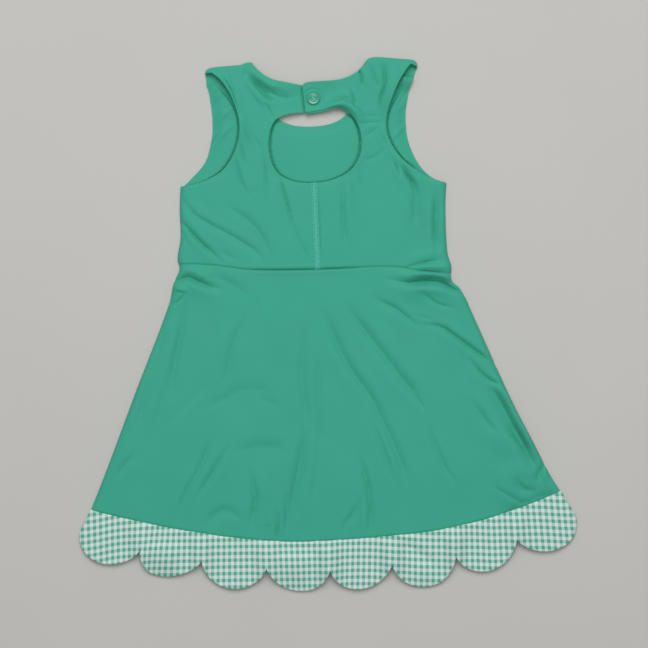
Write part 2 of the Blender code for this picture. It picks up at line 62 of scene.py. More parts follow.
# How far the back layer stands off the front layer
PUFF = 4.3  # in the middle of the dress
PUFF_RAMP = 8.0  # the distance from a side over which it rises
HEM_PUFF, HEM_RAMP = 2.8, 60.0  # along the hem seam and below, and how far above it that starts
MOST_LOFT = 10.5  # nowhere is there more air than this between the layers
SHOULDER_TURN = 3.6  # radius of the fold over the shoulder, at the middle of the wall
SHOULDER_RAMP = 46.0  # how far down the strap the fold's height dies out
NECK_BAND_LIFT = 2.0  # underside of the neck band above the surface, where no front lies under it

# The press stud
STUD_FLAT, STUD_RAMP = 9.0, 20.0  # the cloth is flat so far from its centre, then eases off
DIMPLE, DIMPLE_AT, DIMPLE_WIDTH = 0.7, 8.6, 1.3  # the ring of cloth that is pressed in around the cap
JOINT_THICK = 1.8  # the socket and stud between the two laps

# The lap of the neck band: where the right half climbs onto the left one, and by how much
LAP_RISE = WALL + JOINT_THICK + 2 * SEAM_GAP
LAP_FROM, LAP_TO = 14.0, -4.0  # across
LAP_LOW, LAP_HIGH = 462.0, 476.0  # up: there is no lap below the first, and all of it above the second

Spot = namedtuple("Spot", "across up")
Scallop = namedtuple("Scallop", "across up bulge lean")

# A fold's line runs through its spots. left and right are how far its walls reach to each side of
# that line, seen along it. A negative height is a trough. crisp is 0 for a round bottom or crest and
# 1 for a sharp one.
Fold = namedtuple("Fold", "spots left right height crisp")

# How far the gingham's columns lean to the right over each 10 mm down, at a place along the band
Lean = namedtuple("Lean", "across right")
# How many columns of checks lie to the left of the middle of a dark one
Count = namedtuple("Count", "across columns")

# One side of the bodice. hand is 1 on the right and -1 on the left. The armholes start at the
# underarm, the folds and seams of the shoulder at their outer end, the keyhole at the centre seam
# and the neck at the shoulder. The shares are those of the side's, the keyhole's and the armhole's
# length at which their edges face each other across the back.
Half = namedtuple(
    "Half",
    "hand side back_armhole front_armhole shoulder_fold shoulder_seam keyhole neck "
    "side_low keyhole_narrow keyhole_strap keyhole_band armhole_narrow",
)

STUD = Spot(-14.6, 494.2)

# Seams
WAIST = (
    Spot(-148.4, 327.4),
    Spot(-117.0, 326.8),
    Spot(-80.0, 322.4),
    Spot(-28.0, 322.2),
    Spot(17.0, 323.8),
    Spot(67.0, 325.0),
    Spot(96.0, 320.5),
    Spot(122.5, 319.0),
)
HEM = (
    Spot(-237.0, 82.0),
    Spot(-161.0, 64.7),
    Spot(-95.0, 54.5),
    Spot(-35.0, 50.2),
    Spot(35.0, 53.7),
    Spot(109.0, 61.7),
    Spot(173.0, 77.5),
    Spot(233.0, 100.5),
)
CENTRE_SEAM = (Spot(-10.4, 322.2), Spot(-14.0, 409.0))

# The gingham band's lower edge: where each scallop starts, how far its arc reaches past the line
# to the next one, and how far its belly leans to the right
SCALLOPS = (
    Scallop(-248.5, 59.0, 22.8, -3.1),
    Scallop(-187.1, 41.4, 21.2, -8.1),
    Scallop(-126.1, 29.4, 22.6, -0.3),
    Scallop(-61.4, 22.5, 20.7, 2.4),
    Scallop(2.0, 20.7, 20.3, -2.4),
    Scallop(64.0, 26.4, 25.4, 0.2),
    Scallop(127.5, 34.7, 21.9, -1.0),
    Scallop(188.3, 51.7, 23.0, 3.9),
)
BAND_RIGHT_END = Spot(248.0, 75.0)

# Side edges of the skirt, from the waist
LEFT_SKIRT_SIDE = (
    Spot(-148.4, 327.4),
    Spot(-148.4, 320.5),
    Spot(-153.6, 310.0),
    Spot(-158.4, 288.0),
    Spot(-194.5, 193.0),
    Spot(-219.4, 126.0),
    Spot(-237.0, 82.0),
)
RIGHT_SKIRT_SIDE = (
    Spot(122.5, 319.0),
    Spot(123.6, 310.5),
    Spot(133.0, 302.0),
    Spot(142.4, 282.0),
    Spot(183.1, 192.0),
    Spot(209.0, 141.6),
    Spot(220.6, 119.0),
    Spot(233.0, 100.5),
)

LEFT = Half(
    hand=-1,
    side=(
        Spot(-148.4, 327.4),
        Spot(-150.0, 334.0),
        Spot(-147.0, 354.0),
        Spot(-147.8, 382.0),
        Spot(-147.0, 405.0),
    ),
    back_armhole=(
        Spot(-147.0, 405.0),
        Spot(-126.6, 409.6),
        Spot(-106.2, 420.7),
        Spot(-92.3, 441.0),
        Spot(-88.0, 466.0),
        Spot(-94.8, 492.0),
        Spot(-105.0, 509.2),
        Spot(-115.6, 518.8),
    ),
    front_armhole=(
        Spot(-147.0, 404.0),
        Spot(-138.0, 412.0),
        Spot(-121.7, 432.0),
        Spot(-115.5, 461.0),
        Spot(-117.8, 492.0),
        Spot(-121.6, 507.0),
    ),
    shoulder_fold=(
        Spot(-122.4, 519.0),
        Spot(-121.0, 522.3),
        Spot(-117.0, 524.2),
        Spot(-100.0, 526.0),
        Spot(-87.5, 527.2),
        Spot(-82.5, 529.0),
        Spot(-78.0, 529.7),
        Spot(-75.6, 528.6),
    ),
    shoulder_seam=(Spot(-121.6, 507.0), Spot(-72.0, 513.5)),
    keyhole=(
        Spot(-14.0, 409.0),
        Spot(-34.0, 410.4),
        Spot(-49.5, 418.2),
        Spot(-57.6, 432.5),
        Spot(-59.4, 452.0),
        Spot(-53.6, 470.2),
        Spot(-39.7, 477.5),
        Spot(-22.5, 479.4),
        Spot(-5.6, 484.0),
    ),
    neck=(
        Spot(-74.8, 526.6),
        Spot(-70.8, 521.8),
        Spot(-63.0, 515.7),
        Spot(-54.5, 511.8),
        Spot(-41.0, 509.2),
        Spot(-25.6, 506.6),
        Spot(-5.6, 504.6),
    ),
    side_low=0.60,
    keyhole_narrow=0.51,
    keyhole_strap=0.68,
    keyhole_band=0.74,
    armhole_narrow=0.60,
)
RIGHT = Half(
    hand=1,
    side=(
        Spot(122.5, 319.0),
        Spot(122.6, 327.0),
        Spot(118.9, 340.0),
        Spot(116.8, 382.0),
        Spot(118.0, 409.0),
    ),
    back_armhole=(
        Spot(118.0, 409.0),
        Spot(96.5, 417.0),
        Spot(72.0, 434.5),
        Spot(59.6, 455.0),
        Spot(58.2, 475.0),
        Spot(67.6, 503.9),
        Spot(76.6, 520.4),
        Spot(82.9, 528.4),
    ),
    front_armhole=(
        Spot(118.0, 408.0),
        Spot(96.0, 421.5),
        Spot(81.5, 447.0),
        Spot(77.6, 472.0),
        Spot(79.6, 496.0),
        Spot(86.4, 517.0),
    ),
    shoulder_fold=(
        Spot(88.8, 525.5),
        Spot(88.4, 529.5),
        Spot(85.0, 532.0),
        Spot(70.0, 533.4),
        Spot(50.0, 534.9),
        Spot(43.5, 534.4),
        Spot(40.2, 532.6),
    ),
    shoulder_seam=(Spot(86.4, 517.0), Spot(33.0, 521.0)),
    keyhole=(
        Spot(-14.0, 409.0),
        Spot(5.0, 412.3),
        Spot(22.5, 421.6),
        Spot(32.4, 437.0),
        Spot(33.0, 457.4),
        Spot(25.6, 475.0),
        Spot(12.0, 485.4),
        Spot(-5.0, 482.0),
        Spot(-22.4, 479.2),
    ),
    neck=(
        Spot(38.8, 531.2),
        Spot(27.3, 518.6),
        Spot(10.0, 512.0),
        Spot(-21.5, 509.3),
        Spot(-25.6, 505.7),
    ),
    side_low=0.60,
    keyhole_narrow=0.46,
    keyhole_strap=0.67,
    keyhole_band=0.76,
    armhole_narrow=0.57,
)

FRONT_NECK = (
    Spot(-72.0, 513.5),
    Spot(-64.0, 489.0),
    Spot(-44.0, 470.0),
    Spot(-17.0, 465.6),
    Spot(11.0, 472.0),
    Spot(28.0, 492.0),
    Spot(33.0, 521.0),
)
FRONT_NECK_LOW = 0.46  # share of the front neckline at its lowest point
UNDERARM = 406.0  # up: the front's row of vertices from one underarm to the other

# Creases of the back bodice
BODICE_FOLDS = (
    # the hollow beside the neck on the left, and the ridge under it
    Fold(((-84, 521), (-76, 511.5), (-67, 502), (-58, 493.5), (-46, 490)), 9, 4, -3.6, 0.0),
    Fold(((-66, 505), (-52, 497), (-38, 494), (-26, 497)), 9, 5, -1.8, 0.0),
    Fold(((-82, 526), (-68, 513), (-56, 506), (-40, 503)), 5, 5, 1.0, 0.0),
    Fold(((-78, 503), (-68, 492), (-58, 483)), 5, 4, 0.6, 0.1),
    Fold(((-70, 497), (-63, 488), (-58, 481), (-55, 473), (-53, 464)), 2.4, 2.4, -0.5, 0.8),
    # the left strap, and its armhole's edge that stands up
    Fold(((-90, 436), (-88, 466), (-94, 492), (-104, 509), (-120, 524)), 8, 15, 1.9, 0.0),
    Fold(((-104, 530), (-97, 512), (-92, 497), (-89, 484)), 3, 3, -0.8, 0.5),
    Fold(((-78, 529), (-82, 519), (-87, 510)), 3, 3, -0.6, 0.4),
    Fold(((-114, 523), (-102.4, 511.4), (-95.4, 499), (-90.6, 486), (-87, 470)), 1.6, 1.8, -1.3, 0.6),
    Fold(((-86, 468), (-81, 457), (-75, 445)), 2.5, 2.5, -0.7, 0.6),
    Fold(((-89, 452), (-85, 437), (-80, 422)), 3.5, 3.5, -1.0, 0.4),
    Fold(((-77, 459), (-69, 447), (-66, 438)), 3, 3, -0.5, 0.4),
    # beside the centre seam's cover stitch
    Fold(((-10.4, 414), (-8.6, 372), (-6.4, 322)), 1.5, 1.8, -0.6, 0.7),
    # from the left armhole and the keyhole downwards
    Fold(((-96, 442), (-91, 422), (-86, 408), (-78, 390)), 4.5, 4.5, -1.3, 0.3),
    Fold(((-67, 444), (-63, 420), (-62, 402), (-60, 374)), 3.5, 3.5, -0.9, 0.3),
    Fold(((-52, 424), (-45, 402), (-39, 380), (-34, 358)), 3.5, 3.5, -1.6, 0.6),
    Fold(((-39, 380), (-31, 354), (-17, 326)), 6, 5, -0.9, 0.2),
    # from the left side
    Fold(((-155, 379), (-142, 365), (-127, 349), (-114, 337), (-102, 325)), 5, 4.5, -2.2, 0.5),
    Fold(
        ((-151, 402), (-141, 386), (-132, 376), (-121, 369), (-108, 362),
         (-95, 355), (-75, 342), (-58, 326)),
        5, 6, -1.3, 0.1,
    ),
    Fold(
        ((-107, 389), (-94, 381), (-81, 372), (-72, 363),
         (-65, 352), (-59, 340), (-53, 326)),
        7, 6, -1.3, 0.1,
    ),
    Fold(((-112, 344), (-98, 335), (-86, 330)), 5, 5, -0.6, 0.2),
    Fold(((-148, 366), (-142, 354), (-140, 342)), 3, 3, -0.6, 0.4),
    # the right strap, and its armhole's edge that stands up
    Fold(((58, 470), (65, 498), (74, 517), (86, 534)), 16, 8, 3.2, 0.0),
    Fold(((50, 542), (56, 522), (56, 506), (52, 494), (50, 474)), 3.5, 3.5, -1.7, 0.4),
    Fold(((41, 530), (46, 514), (52, 500)), 4, 4, -1.0, 0.2),
    Fold(((36, 536), (31, 524), (27, 516)), 2.5, 2.5, -1.2, 0.5),
    Fold(((28, 526), (33, 515), (33.5, 502)), 3.2, 3.2, -1.7, 0.4),
    Fold(((71, 532), (69, 520), (69, 504)), 4, 4, -0.5, 0.2),
    # the neck band and beside the keyhole
    Fold(((21, 505), (25, 493), (28, 480)), 3, 3, -1.1, 0.4),
    Fold(((27, 467), (42, 469), (60, 469)), 3.5, 4, -0.8, 0.3),
    Fold(((34, 478), (44, 475), (54, 478)), 6, 6, -0.7, 0.1),
    Fold(((33, 453), (43, 459), (54, 468)), 4.2, 4.2, -0.5, 0.2),
    Fold(((50, 460), (55, 452), (57, 444)), 3, 3, -0.5, 0.3),
    Fold(((31, 434), (42, 433), (50, 437), (60, 446)), 4.2, 4.2, -0.6, 0.3),
    # from the right armhole and the keyhole downwards
    Fold(((62, 434), (69, 424), (72, 411)), 3, 3, -1.1, 0.5),
    Fold(((69, 431), (79, 417), (85, 408), (90, 390)), 5.5, 5, -2.9, 0.2),
    Fold(((88, 404), (87, 386), (88, 362)), 7, 7, -1.5, 0.0),
    Fold(((107, 412), (108, 385), (107, 368), (108, 350), (112, 330)), 8.5, 6, -2.7, 0.0),
    Fold(((15, 418), (15, 395), (15, 375), (17, 355), (21, 336)), 5, 5, -1.4, 0.2),
    Fold(((22, 424), (24, 402), (26, 382), (28, 362)), 3, 3, -0.7, 0.3),
    Fold(((29, 428), (31, 416), (34, 403)), 2.5, 2.5, -0.6, 0.4),
    Fold(((94, 406), (91, 364), (94, 328)), 16, 14, -1.1, 0.0),
    # along the waist seam, where it is drawn in most
    Fold(((-92, 322.6), (-60, 322), (-28, 322.2), (0, 323), (40, 324.7)), 2.2, 2.2, -1.4, 0.7),
    # the pouch over the right end of the waist seam
    Fold(((72, 323), (86, 326.5), (98, 330), (116, 332)), 2.5, 3, -1.4, 0.6),
    Fold(((74, 330), (98, 337), (124, 340)), 8, 6, 0.8, 0.1),
    Fold(((80, 324), (102, 325), (130, 325)), 5, 5, 1.4, 0.1),
)

# Creases of the neck tab, where the press stud holds the cloth
TAB_FOLDS = (
    # the band stands up over the right of the keyhole
    Fold(((-8, 484), (4, 487), (16, 488), (29, 479), (36, 462)), 7, 6.5, 2.8, 0.0),
    # from the stud towards the right strap
    Fold(((-8, 485), (4, 490.5), (17, 493.5), (29, 491)), 3.5, 4, -1.0, 0.3),
)

# Where the tab's end presses into the left half
TAB_END = (Fold(((-26.2, 514), (-26.0, 500), (-24.8, 490), (-22.6, 472)), 3.0, 1.9, -1.5, 0.9),)

# Creases of the back of the skirt
SKIRT_FOLDS = (
    # along the waist seam, where it is drawn in most
    Fold(((-92, 322.6), (-60, 322), (-28, 322.2), (0, 323), (40, 324.7)), 2.2, 2.2, -1.4, 0.7),
    # under the left end of the waist seam
    Fold(((-170, 312), (-128, 311), (-96, 305)), 14, 30, 1.2, 0.0),
    Fold(((-168, 307), (-151, 311), (-140, 314.5), (-130, 310.5), (-120, 306), (-102, 301)), 7, 6, -3.6, 0.2),
    Fold(((-134, 309), (-118, 314), (-104, 312), (-90, 304), (-76, 292)), 8, 24, -1.1, 0.0),
    Fold(((-160, 305), (-147, 303), (-136, 298)), 5, 6, 1.0, 0.0),
    Fold(((-156, 302), (-147, 299.5), (-140, 298)), 2, 2, -0.6, 0.4),
    Fold(((-143, 299), (-148, 292), (-158, 286)), 2.5, 2.5, -1.3, 0.5),
    Fold(((-144, 296), (-143, 286), (-143, 272)), 3, 3, -0.6, 0.3),
    # under the right end of it
    Fold(((44, 313), (96, 312), (140, 300)), 14, 30, 1.6, 0.0),
    Fold(((50, 313), (64, 312), (80, 309.5), (94, 311.5), (112, 313)), 8, 8, -1.6, 0.0),
    Fold(
        ((66, 311), (80, 309.5), (94, 311), (106, 311),
         (116, 308.5), (126, 303), (150, 292)),
        6, 7, -4.2, 0.3,
    ),
    Fold(((74, 317), (98, 318), (116, 316), (138, 306)), 4, 4, 1.8, 0.1),
    Fold(((76, 302), (98, 303), (124, 296)), 5, 6, 0.6, 0.0),
    Fold(((90, 303), (100, 295), (108, 289), (117, 286), (130, 284)), 3.5, 5, -0.9, 0.3),
    # from the right side
    Fold(((40, 298), (56, 289), (68, 283), (78, 275), (88, 268), (98, 266)), 5, 7, -1.5, 0.3),
    Fold(((84, 277), (95, 275), (108, 271)), 3, 3, -0.4, 0.4),
    Fold(
        ((90, 268), (106, 266.5), (116, 263.5), (126, 256.5),
         (150, 239), (162, 230), (176, 221)),
        4.5, 5, -2.3, 0.4,
    ),
    Fold(((138, 238), (150, 222), (160, 213), (170, 208), (186, 202)), 4, 5, -1.8, 0.4),
    Fold(((138, 198), (150, 182), (162, 166), (177, 156)), 6, 9, -1.2, 0.0),
    Fold(((164, 222), (174, 205), (188, 178), (204, 147), (215, 127)), 2.6, 11, 3.6, 0.0),
    Fold(
        ((154, 215), (166, 200), (174.5, 186), (181.5, 173),
         (189, 158), (198, 141), (208, 122), (216, 106)),
        8, 11, -2.8, 0.0,
    ),
    Fold(((156, 176), (182, 152), (210, 130)), 8, 28, 1.7, 0.0),
    Fold(((180, 172), (190, 156), (197, 145), (206, 132)), 9, 6, -2.6, 0.0),
    # the right corner
    Fold(((217.5, 132), (213.5, 121), (209, 108)), 3, 6.5, -3.0, 0.3),
    Fold(((170, 77), (200, 87.5), (240, 104)), 8, 2, -1.6, 0.0),
    Fold(((160, 74), (192, 85), (240, 105)), 26, 3, -1.7, 0.0),
    Fold(((166, 110), (190, 120), (210, 126)), 18, 26, 1.3, 0.0),
    Fold(((186, 118), (191, 108), (198, 102.5), (212, 102)), 5, 8, -1.4, 0.0),
    Fold(((160, 110), (176, 99), (188, 92), (202, 84)), 4, 4, -1.0, 0.4),
    # long ones from the waist to the hem
    Fold(
        ((-4, 285), (7, 253), (23, 222), (43, 194),
         (54, 171), (64, 150), (74, 125), (79, 100)),
        8, 7, -1.9, 0.0,
    ),
    Fold(((43, 184), (47, 165), (53, 148), (59, 130), (67, 100)), 6, 5, -1.4, 0.0),
    Fold(((16, 290), (32, 268), (44, 252), (58, 234), (70, 218), (82, 203), (100, 178)), 8.5, 7.5, -2.0, 0.0),
    Fold(((84, 200), (90, 192), (98, 179)), 3, 3, -0.7, 0.4),
    Fold(((99, 172), (105, 152), (111, 137), (118, 122), (134, 102)), 5, 5, -1.3, 0.1),
    Fold(((112, 190), (114, 178), (115, 164)), 3, 3, -0.3, 0.3),
    Fold(((30, 146), (35, 124), (40, 104), (42, 82), (42, 62), (43, 46)), 5.5, 4.5, -1.7, 0.2),
    Fold(((48, 96), (46, 76), (47, 54)), 7, 7, -0.5, 0.0),
    Fold(((34, 94), (24, 77), (18, 68), (15, 56)), 5, 4, -1.2, 0.1),
    Fold(((-9, 244), (-10, 208), (-8, 172), (-10, 140), (-13, 112), (-16, 80)), 5, 5, -0.8, 0.0),
    Fold(((-25, 266), (-25, 240), (-26, 215), (-23, 186), (-17, 160)), 7, 7, -1.25, 0.0),
    Fold(((-25, 168), (-25, 150), (-29, 124), (-33, 104), (-37, 82), (-41, 56)), 10, 8, -2.2, 0.0),
    Fold(((-46, 106), (-42, 84), (-41, 70), (-42, 54)), 5, 4, -1.4, 0.3),
    Fold(((-72, 296), (-69, 284), (-67, 268)), 2.5, 2.5, -0.5, 0.3),
    Fold(((-78, 282), (-90, 259), (-97, 240), (-101, 218), (-112, 196)), 8, 7, -1.3, 0.0),
    Fold(((-143, 290), (-146, 266), (-150, 243), (-155, 217), (-158, 186)), 6, 6, -1.3, 0.1),
    Fold(((-158, 284), (-165, 258), (-172, 235), (-182, 200), (-193, 150)), 6, 6, -1.0, 0.0),
    Fold(((-151, 272), (-160, 236), (-172, 192), (-184, 148)), 7, 7, 0.7, 0.0),
    # low on the left
    Fold(((-126, 178), (-112, 190), (-98, 197), (-80, 203), (-62, 201), (-42, 190)), 10, 32, -0.7, 0.0),
    Fold(((-120, 182), (-107, 191), (-92, 196)), 5, 7, -0.3, 0.0),
    Fold(((-106, 220), (-121, 208), (-134, 194), (-151, 177), (-170, 154)), 7, 9, -0.45, 0.0),
    Fold(((-72, 195), (-58, 190), (-44, 182)), 7, 12, -0.6, 0.0),
    Fold(((-100, 134), (-84, 142), (-66, 146), (-50, 144), (-34, 134)), 12, 30, -1.2, 0.0),
    Fold(((-113, 162), (-124, 134), (-132, 116), (-141, 101), (-146, 88), (-149, 66)), 4.5, 4.5, -1.3, 0.1),
    Fold(((-94, 152), (-105, 136), (-112, 124), (-120, 111), (-134, 88)), 5, 5, -1.4, 0.0),
    Fold(((-80, 130), (-76, 112), (-73, 94), (-75, 76), (-78, 54)), 6, 5, -1.8, 0.0),
    Fold(((-126, 62), (-114, 76), (-104, 82), (-95, 79), (-84, 66)), 7, 12, -1.0, 0.0),
    Fold(((-213, 112), (-203, 127), (-190, 143)), 5, 9, -1.0, 0.0),
    # the side seam, just inside the left edge
    Fold(((-192, 190), (-201, 165), (-210, 141), (-222, 108), (-230, 84)), 1.6, 1.6, -1.1, 0.6),
    # puckers by the hem seam
    Fold(((-53, 88), (-51, 68), (-51, 46)), 3.5, 3.5, -1.6, 0.3),
    Fold(((-70, 58), (-63, 65), (-56, 62)), 3, 3, -0.5, 0.2),
    Fold(((-58, 70), (-61, 58), (-62, 46)), 3, 3, -0.7, 0.3),
)

# The gingham band lifts at three of its cusps and waves a little between them
BAND_FOLDS = (
    Fold(((-188, 76), (-187, 44), (-187, 16)), 15, 15, 3.4, 0.0),
    Fold(((-127, 70), (-126, 34), (-126, 4)), 15, 15, 3.8, 0.0),
    Fold(((-59, 64), (-61, 28), (-62, -4)), 17, 17, 4.4, 0.0),
    Fold(((-1, 64), (1, 28), (3, -4)), 18, 18, 5.6, 0.0),
    Fold(((62, 68), (64, 34), (66, 2)), 17, 17, 4.6, 0.0),
    Fold(((128, 76), (127, 42), (127, 10)), 15, 15, 4.2, 0.0),
    Fold(((190, 92), (188, 60), (187, 28)), 14, 14, 3.4, 0.0),
    # bellies that droop
    Fold(((-190, 46), (-164, 42), (-138, 42)), 10, 26, 2.4, 0.0),
    Fold(((-184, 24), (-160, 11), (-138, 16)), 16, 8, -2.2, 0.0),
    Fold(((-62, 34), (-34, 32), (-6, 34)), 10, 26, 2.8, 0.0),
    Fold(((-54, 8), (-30, -4), (-8, 4)), 20, 8, -2.6, 0.0),
    Fold(((66, 56), (84, 44), (98, 34), (112, 22)), 8, 12, -1.6, 0.0),
    Fold(((78, 12), (98, 4), (116, 12)), 14, 8, -1.6, 0.0),
    Fold(((-172, 70), (-174, 50), (-178, 24)), 10, 12, 0.6, 0.1),
    Fold(((18, 60), (22, 36), (26, 4)), 8, 9, 0.5, 0.2),
    Fold(((-150, 66), (-150, 44), (-152, 16)), 9, 9, -0.5, 0.1),
    Fold(((120, 66), (124, 46), (127, 34)), 10, 10, 0.6, 0.1),
    Fold(((196, 84), (200, 60), (206, 32)), 12, 12, 0.6, 0.1),
    Fold(((-212, 78), (-216, 56), (-222, 30)), 12, 12, 0.5, 0.1),
)

# Ridges of the front layer where it shows in the armholes and the keyhole
FRONT_FOLDS = (
    Fold(((-122, 424), (-114, 448), (-100, 464), (-90, 470)), 5, 6, 1.2, 0.1),
    Fold(((-118, 462), (-108, 474), (-94, 486)), 5, 6, 0.8, 0.2),
    Fold(((-121, 504), (-117, 510), (-112, 513)), 3, 3, 0.6, 0.3),
    Fold(((-120, 488), (-112, 494), (-100, 504)), 5, 6, 0.7, 0.2),
    Fold(((64, 514), (78, 514), (98, 508)), 3.2, 17, 4.2, 0.0),
    Fold(((62, 450), (70, 460), (80, 470)), 4, 4, 0.6, 0.2),
    Fold(((68, 478), (76, 490), (82, 504)), 4, 5, 0.8, 0.2),
    Fold(((70, 438), (80, 432), (92, 424)), 4, 4, 0.7, 0.3),
)

# One row of dark checks, followed from end to end of the band
CHECK_ROW = (
    Spot(-251.5, 35.0),
    Spot(-239.3, 36.5),
    Spot(-227.3, 38.5),
    Spot(-215.4, 40.9),
    Spot(-198.2, 42.7),
    Spot(-176.2, 44.0),
    Spot(-150.0, 44.4),
    Spot(-57.0, 46.1),
    Spot(-14.0, 46.7),
    Spot(25.0, 48.7),
    Spot(59.0, 48.1),
    Spot(93.0, 45.5),
    Spot(128.0, 45.1),
    Spot(150.0, 44.8),
    Spot(165.0, 44.2),
    Spot(180.0, 44.6),
    Spot(212.0, 44.7),
    Spot(233.0, 43.8),
    Spot(252.0, 43.2),
)
CHECK_COLUMNS = (
    Count(-251.5, -2),
    Count(-239.3, 0),
    Count(-221.1, 3),
    Count(-198.2, 7),
    Count(-181.8, 10),
    Count(-166.1, 13),
    Count(-87.0, 27),
    Count(3.8, 43),
    Count(24.7, 47),
    Count(87.2, 58),
    Count(116.7, 63),
    Count(132.6, 66),
    Count(177.4, 74),
    Count(206.2, 79),
    Count(241.9, 85),
    Count(254.0, 87),
)
CHECK_LEANS = (
    Lean(-240, 0.2),
    Lean(-205, 0.0),
    Lean(-188, -0.2),
    Lean(-178, -0.9),
    Lean(-163, -0.8),
    Lean(-145, -0.2),
    Lean(-90, 0.0),
    Lean(-40, 0.5),
    Lean(0, 0.0),
    Lean(20, -0.2),
    Lean(55, -0.2),
    Lean(75, 0.0),
    Lean(130, 0.1),
    Lean(172, 0.5),
    Lean(212, 0.85),
    Lean(248, 0.9),
)
ROW_REPEAT = 6.70  # from row to row of dark checks
LEAN_FROM = 16.0  # the columns lean about their places so far below the hem seam

# Mesh steps
FINE = 400  # a curve that others are read from
ARC_STEPS = 16  # from one of a curve's spots to the next
FOLD_STEPS = 8
NEAR_EDGE = (0.0, 0.5, 1.0, 1.5, 2.0, 2.6, 3.4)  # rows of vertices beside an edge, in millimetres from it


# Lines in plan


def at_shares(path, shares):
    """The points of a path at these shares of its length."""
    lengths = np.concatenate([[0.0], np.cumsum(np.linalg.norm(np.diff(path, axis=0), axis=1))])
    targets = np.asarray(shares) * lengths[-1]
    return np.column_stack([np.interp(targets, lengths, path[:, axis]) for axis in (0, 1)])


def smooth_line(spots):
    """Evenly spaced points on a smooth curve through the spots."""
    knots = [Vector(spot) for spot in spots]
    headings = [(after - before).normalized() for before, after in zip(knots, knots[2:])]
    first = (knots[1] - knots[0]).normalized()
    last = (knots[-1] - knots[-2]).normalized()
    if headings:
        headings = [2 * first - headings[0], *headings, 2 * last - headings[-1]]
    else:
        headings = [first, last]
    path = []
    for index, (start, end) in enumerate(zip(knots, knots[1:])):
        reach = (end - start).length / 3
        lead = start + headings[index].normalized() * reach
        tail = end - headings[index + 1].normalized() * reach
        path += interpolate_bezier(start, lead, tail, end, ARC_STEPS)[:-1]
    path.append(knots[-1])
    return at_shares(np.array(path), np.linspace(0, 1, FINE + 1))


def moved_aside(line, distance):
    """The line shifted to the left of its own direction."""
    ahead = np.vstack([line[1:], line[-1:]])
    behind = np.vstack([line[:1], line[:-1]])
    heading = ahead - behind
    heading /= np.linalg.norm(heading, axis=1)[:, None]
    return line + np.column_stack([-heading[:, 1], heading[:, 0]]) * distance


def stretch(line, start, end, steps):
    """The part of a line between two shares of its length, as steps + 1 points."""
    return at_shares(line, np.linspace(start, end, steps + 1))


def joined(*lines):
    """Lines end to end, each shared end given once."""
    return np.vstack([lines[0], *(line[1:] for line in lines[1:])])


def across_at(line, up):
    """Where a line that only climbs stands at these heights."""
    return np.interp(up, line[:, 1], line[:, 0])


def up_at(line, across):
    """How high a line that only runs to the right stands at these places across."""
    return np.interp(across, line[:, 0], line[:, 1])


def close_shares(length, spacing, at_start=True, at_end=True):
    """Shares from 0 to 1 that are spacing apart on this length, and closer beside its ends."""
    start = np.array(NEAR_EDGE if at_start else NEAR_EDGE[:1])
    end = length - np.array(NEAR_EDGE if at_end else NEAR_EDGE[:1])[::-1]
    steps = max(1, round((end[0] - start[-1]) / spacing))
    between = np.linspace(start[-1], end[0], steps + 1)
    return np.concatenate([start[:-1], between, end[1:]]) / length


# The height of the back layer

FOLD_DEPTH = 1.45  # how much deeper the folds are than their own figures
FADE_LENGTH, MOST_FADE = 34.0, 0.42  # over what length a fold's ends die out, and at most what share of it
TROUGH_POWER, RIDGE_POWER = 1.6, 2.2  # how steeply the walls of a soft trough and a sharp ridge curve
# The cloth that a trough pushes up beside it: how high, in the trough's depth, and where it is
# highest and where it ends, in the trough's width
BULGE, BULGE_AT, BULGE_REACH = 0.22, 1.25, 2.6
Wave = namedtuple("Wave", "size height seed")
UNEVENNESS = (Wave(46.0, 0.5, 3.1), Wave(15.0, 0.12, 7.7))
AIR_BEND = 0.25  # how softly the air between the layers runs out at its least and its most


def eased(share):
    """0 to 1 with a level start and end."""
    share = np.clip(share, 0.0, 1.0)
    return share * share * (3 - 2 * share)


def nearest_on(line, points):
    """Each point's distance to the line, the side that it lies on and the share along the line."""
    start, run = line[:-1], np.diff(line, axis=0)
    offset = points[:, None] - start
    share = np.clip((offset * run).sum(axis=2) / (run * run).sum(axis=1), 0.0, 1.0)
    away = offset - share[..., None] * run
    distance = np.linalg.norm(away, axis=2)
    best = distance.argmin(axis=1)
    rows = np.arange(len(points))
    heading, beside = run[best], away[rows, best]
    side = heading[:, 0] * beside[:, 1] - heading[:, 1] * beside[:, 0]
    return distance[rows, best], side, (best + share[rows, best]) / len(run)


def fold_heights(points, folds):
    """What the folds add to the height at each point."""
    heights = np.zeros(len(points))
    for fold in folds:
        line = smooth_line(fold.spots)
        length = np.linalg.norm(np.diff(line, axis=0), axis=1).sum()
        line = at_shares(line, np.linspace(0, 1, FOLD_STEPS * (len(fold.spots) - 1) + 1))
        reach = max(fold.left, fold.right) * BULGE_REACH
        near = ((points > line.min(axis=0) - reach) & (points < line.max(axis=0) + reach)).all(axis=1)
        if not near.any():
            continue
        distance, side, along = nearest_on(line, points[near])
        fade = min(MOST_FADE, FADE_LENGTH / length)
        strength = eased(along / fade) * eased((1 - along) / fade)
        away = distance / np.where(side > 0, fold.left, fold.right)
        inside = np.minimum(away, 1.0)
        if fold.height < 0:
            pushed = (away / BULGE_AT) ** 2
            shape = (1 - inside) ** (TROUGH_POWER + fold.crisp) - BULGE * pushed * np.exp(1 - pushed)
        else:
            soft = np.cos(inside * math.pi / 2) ** 2
            shape = soft + ((1 - inside) ** RIDGE_POWER - soft) * fold.crisp
        heights[near] += FOLD_DEPTH * fold.height * strength * shape
    return heights


def undulation(points, wave):
    """Slow, uneven waves of about this size."""
    waves = [noise.noise(Vector((across / wave.size, up / wave.size, wave.seed))) for across, up in points]
    return wave.height * np.array(waves)


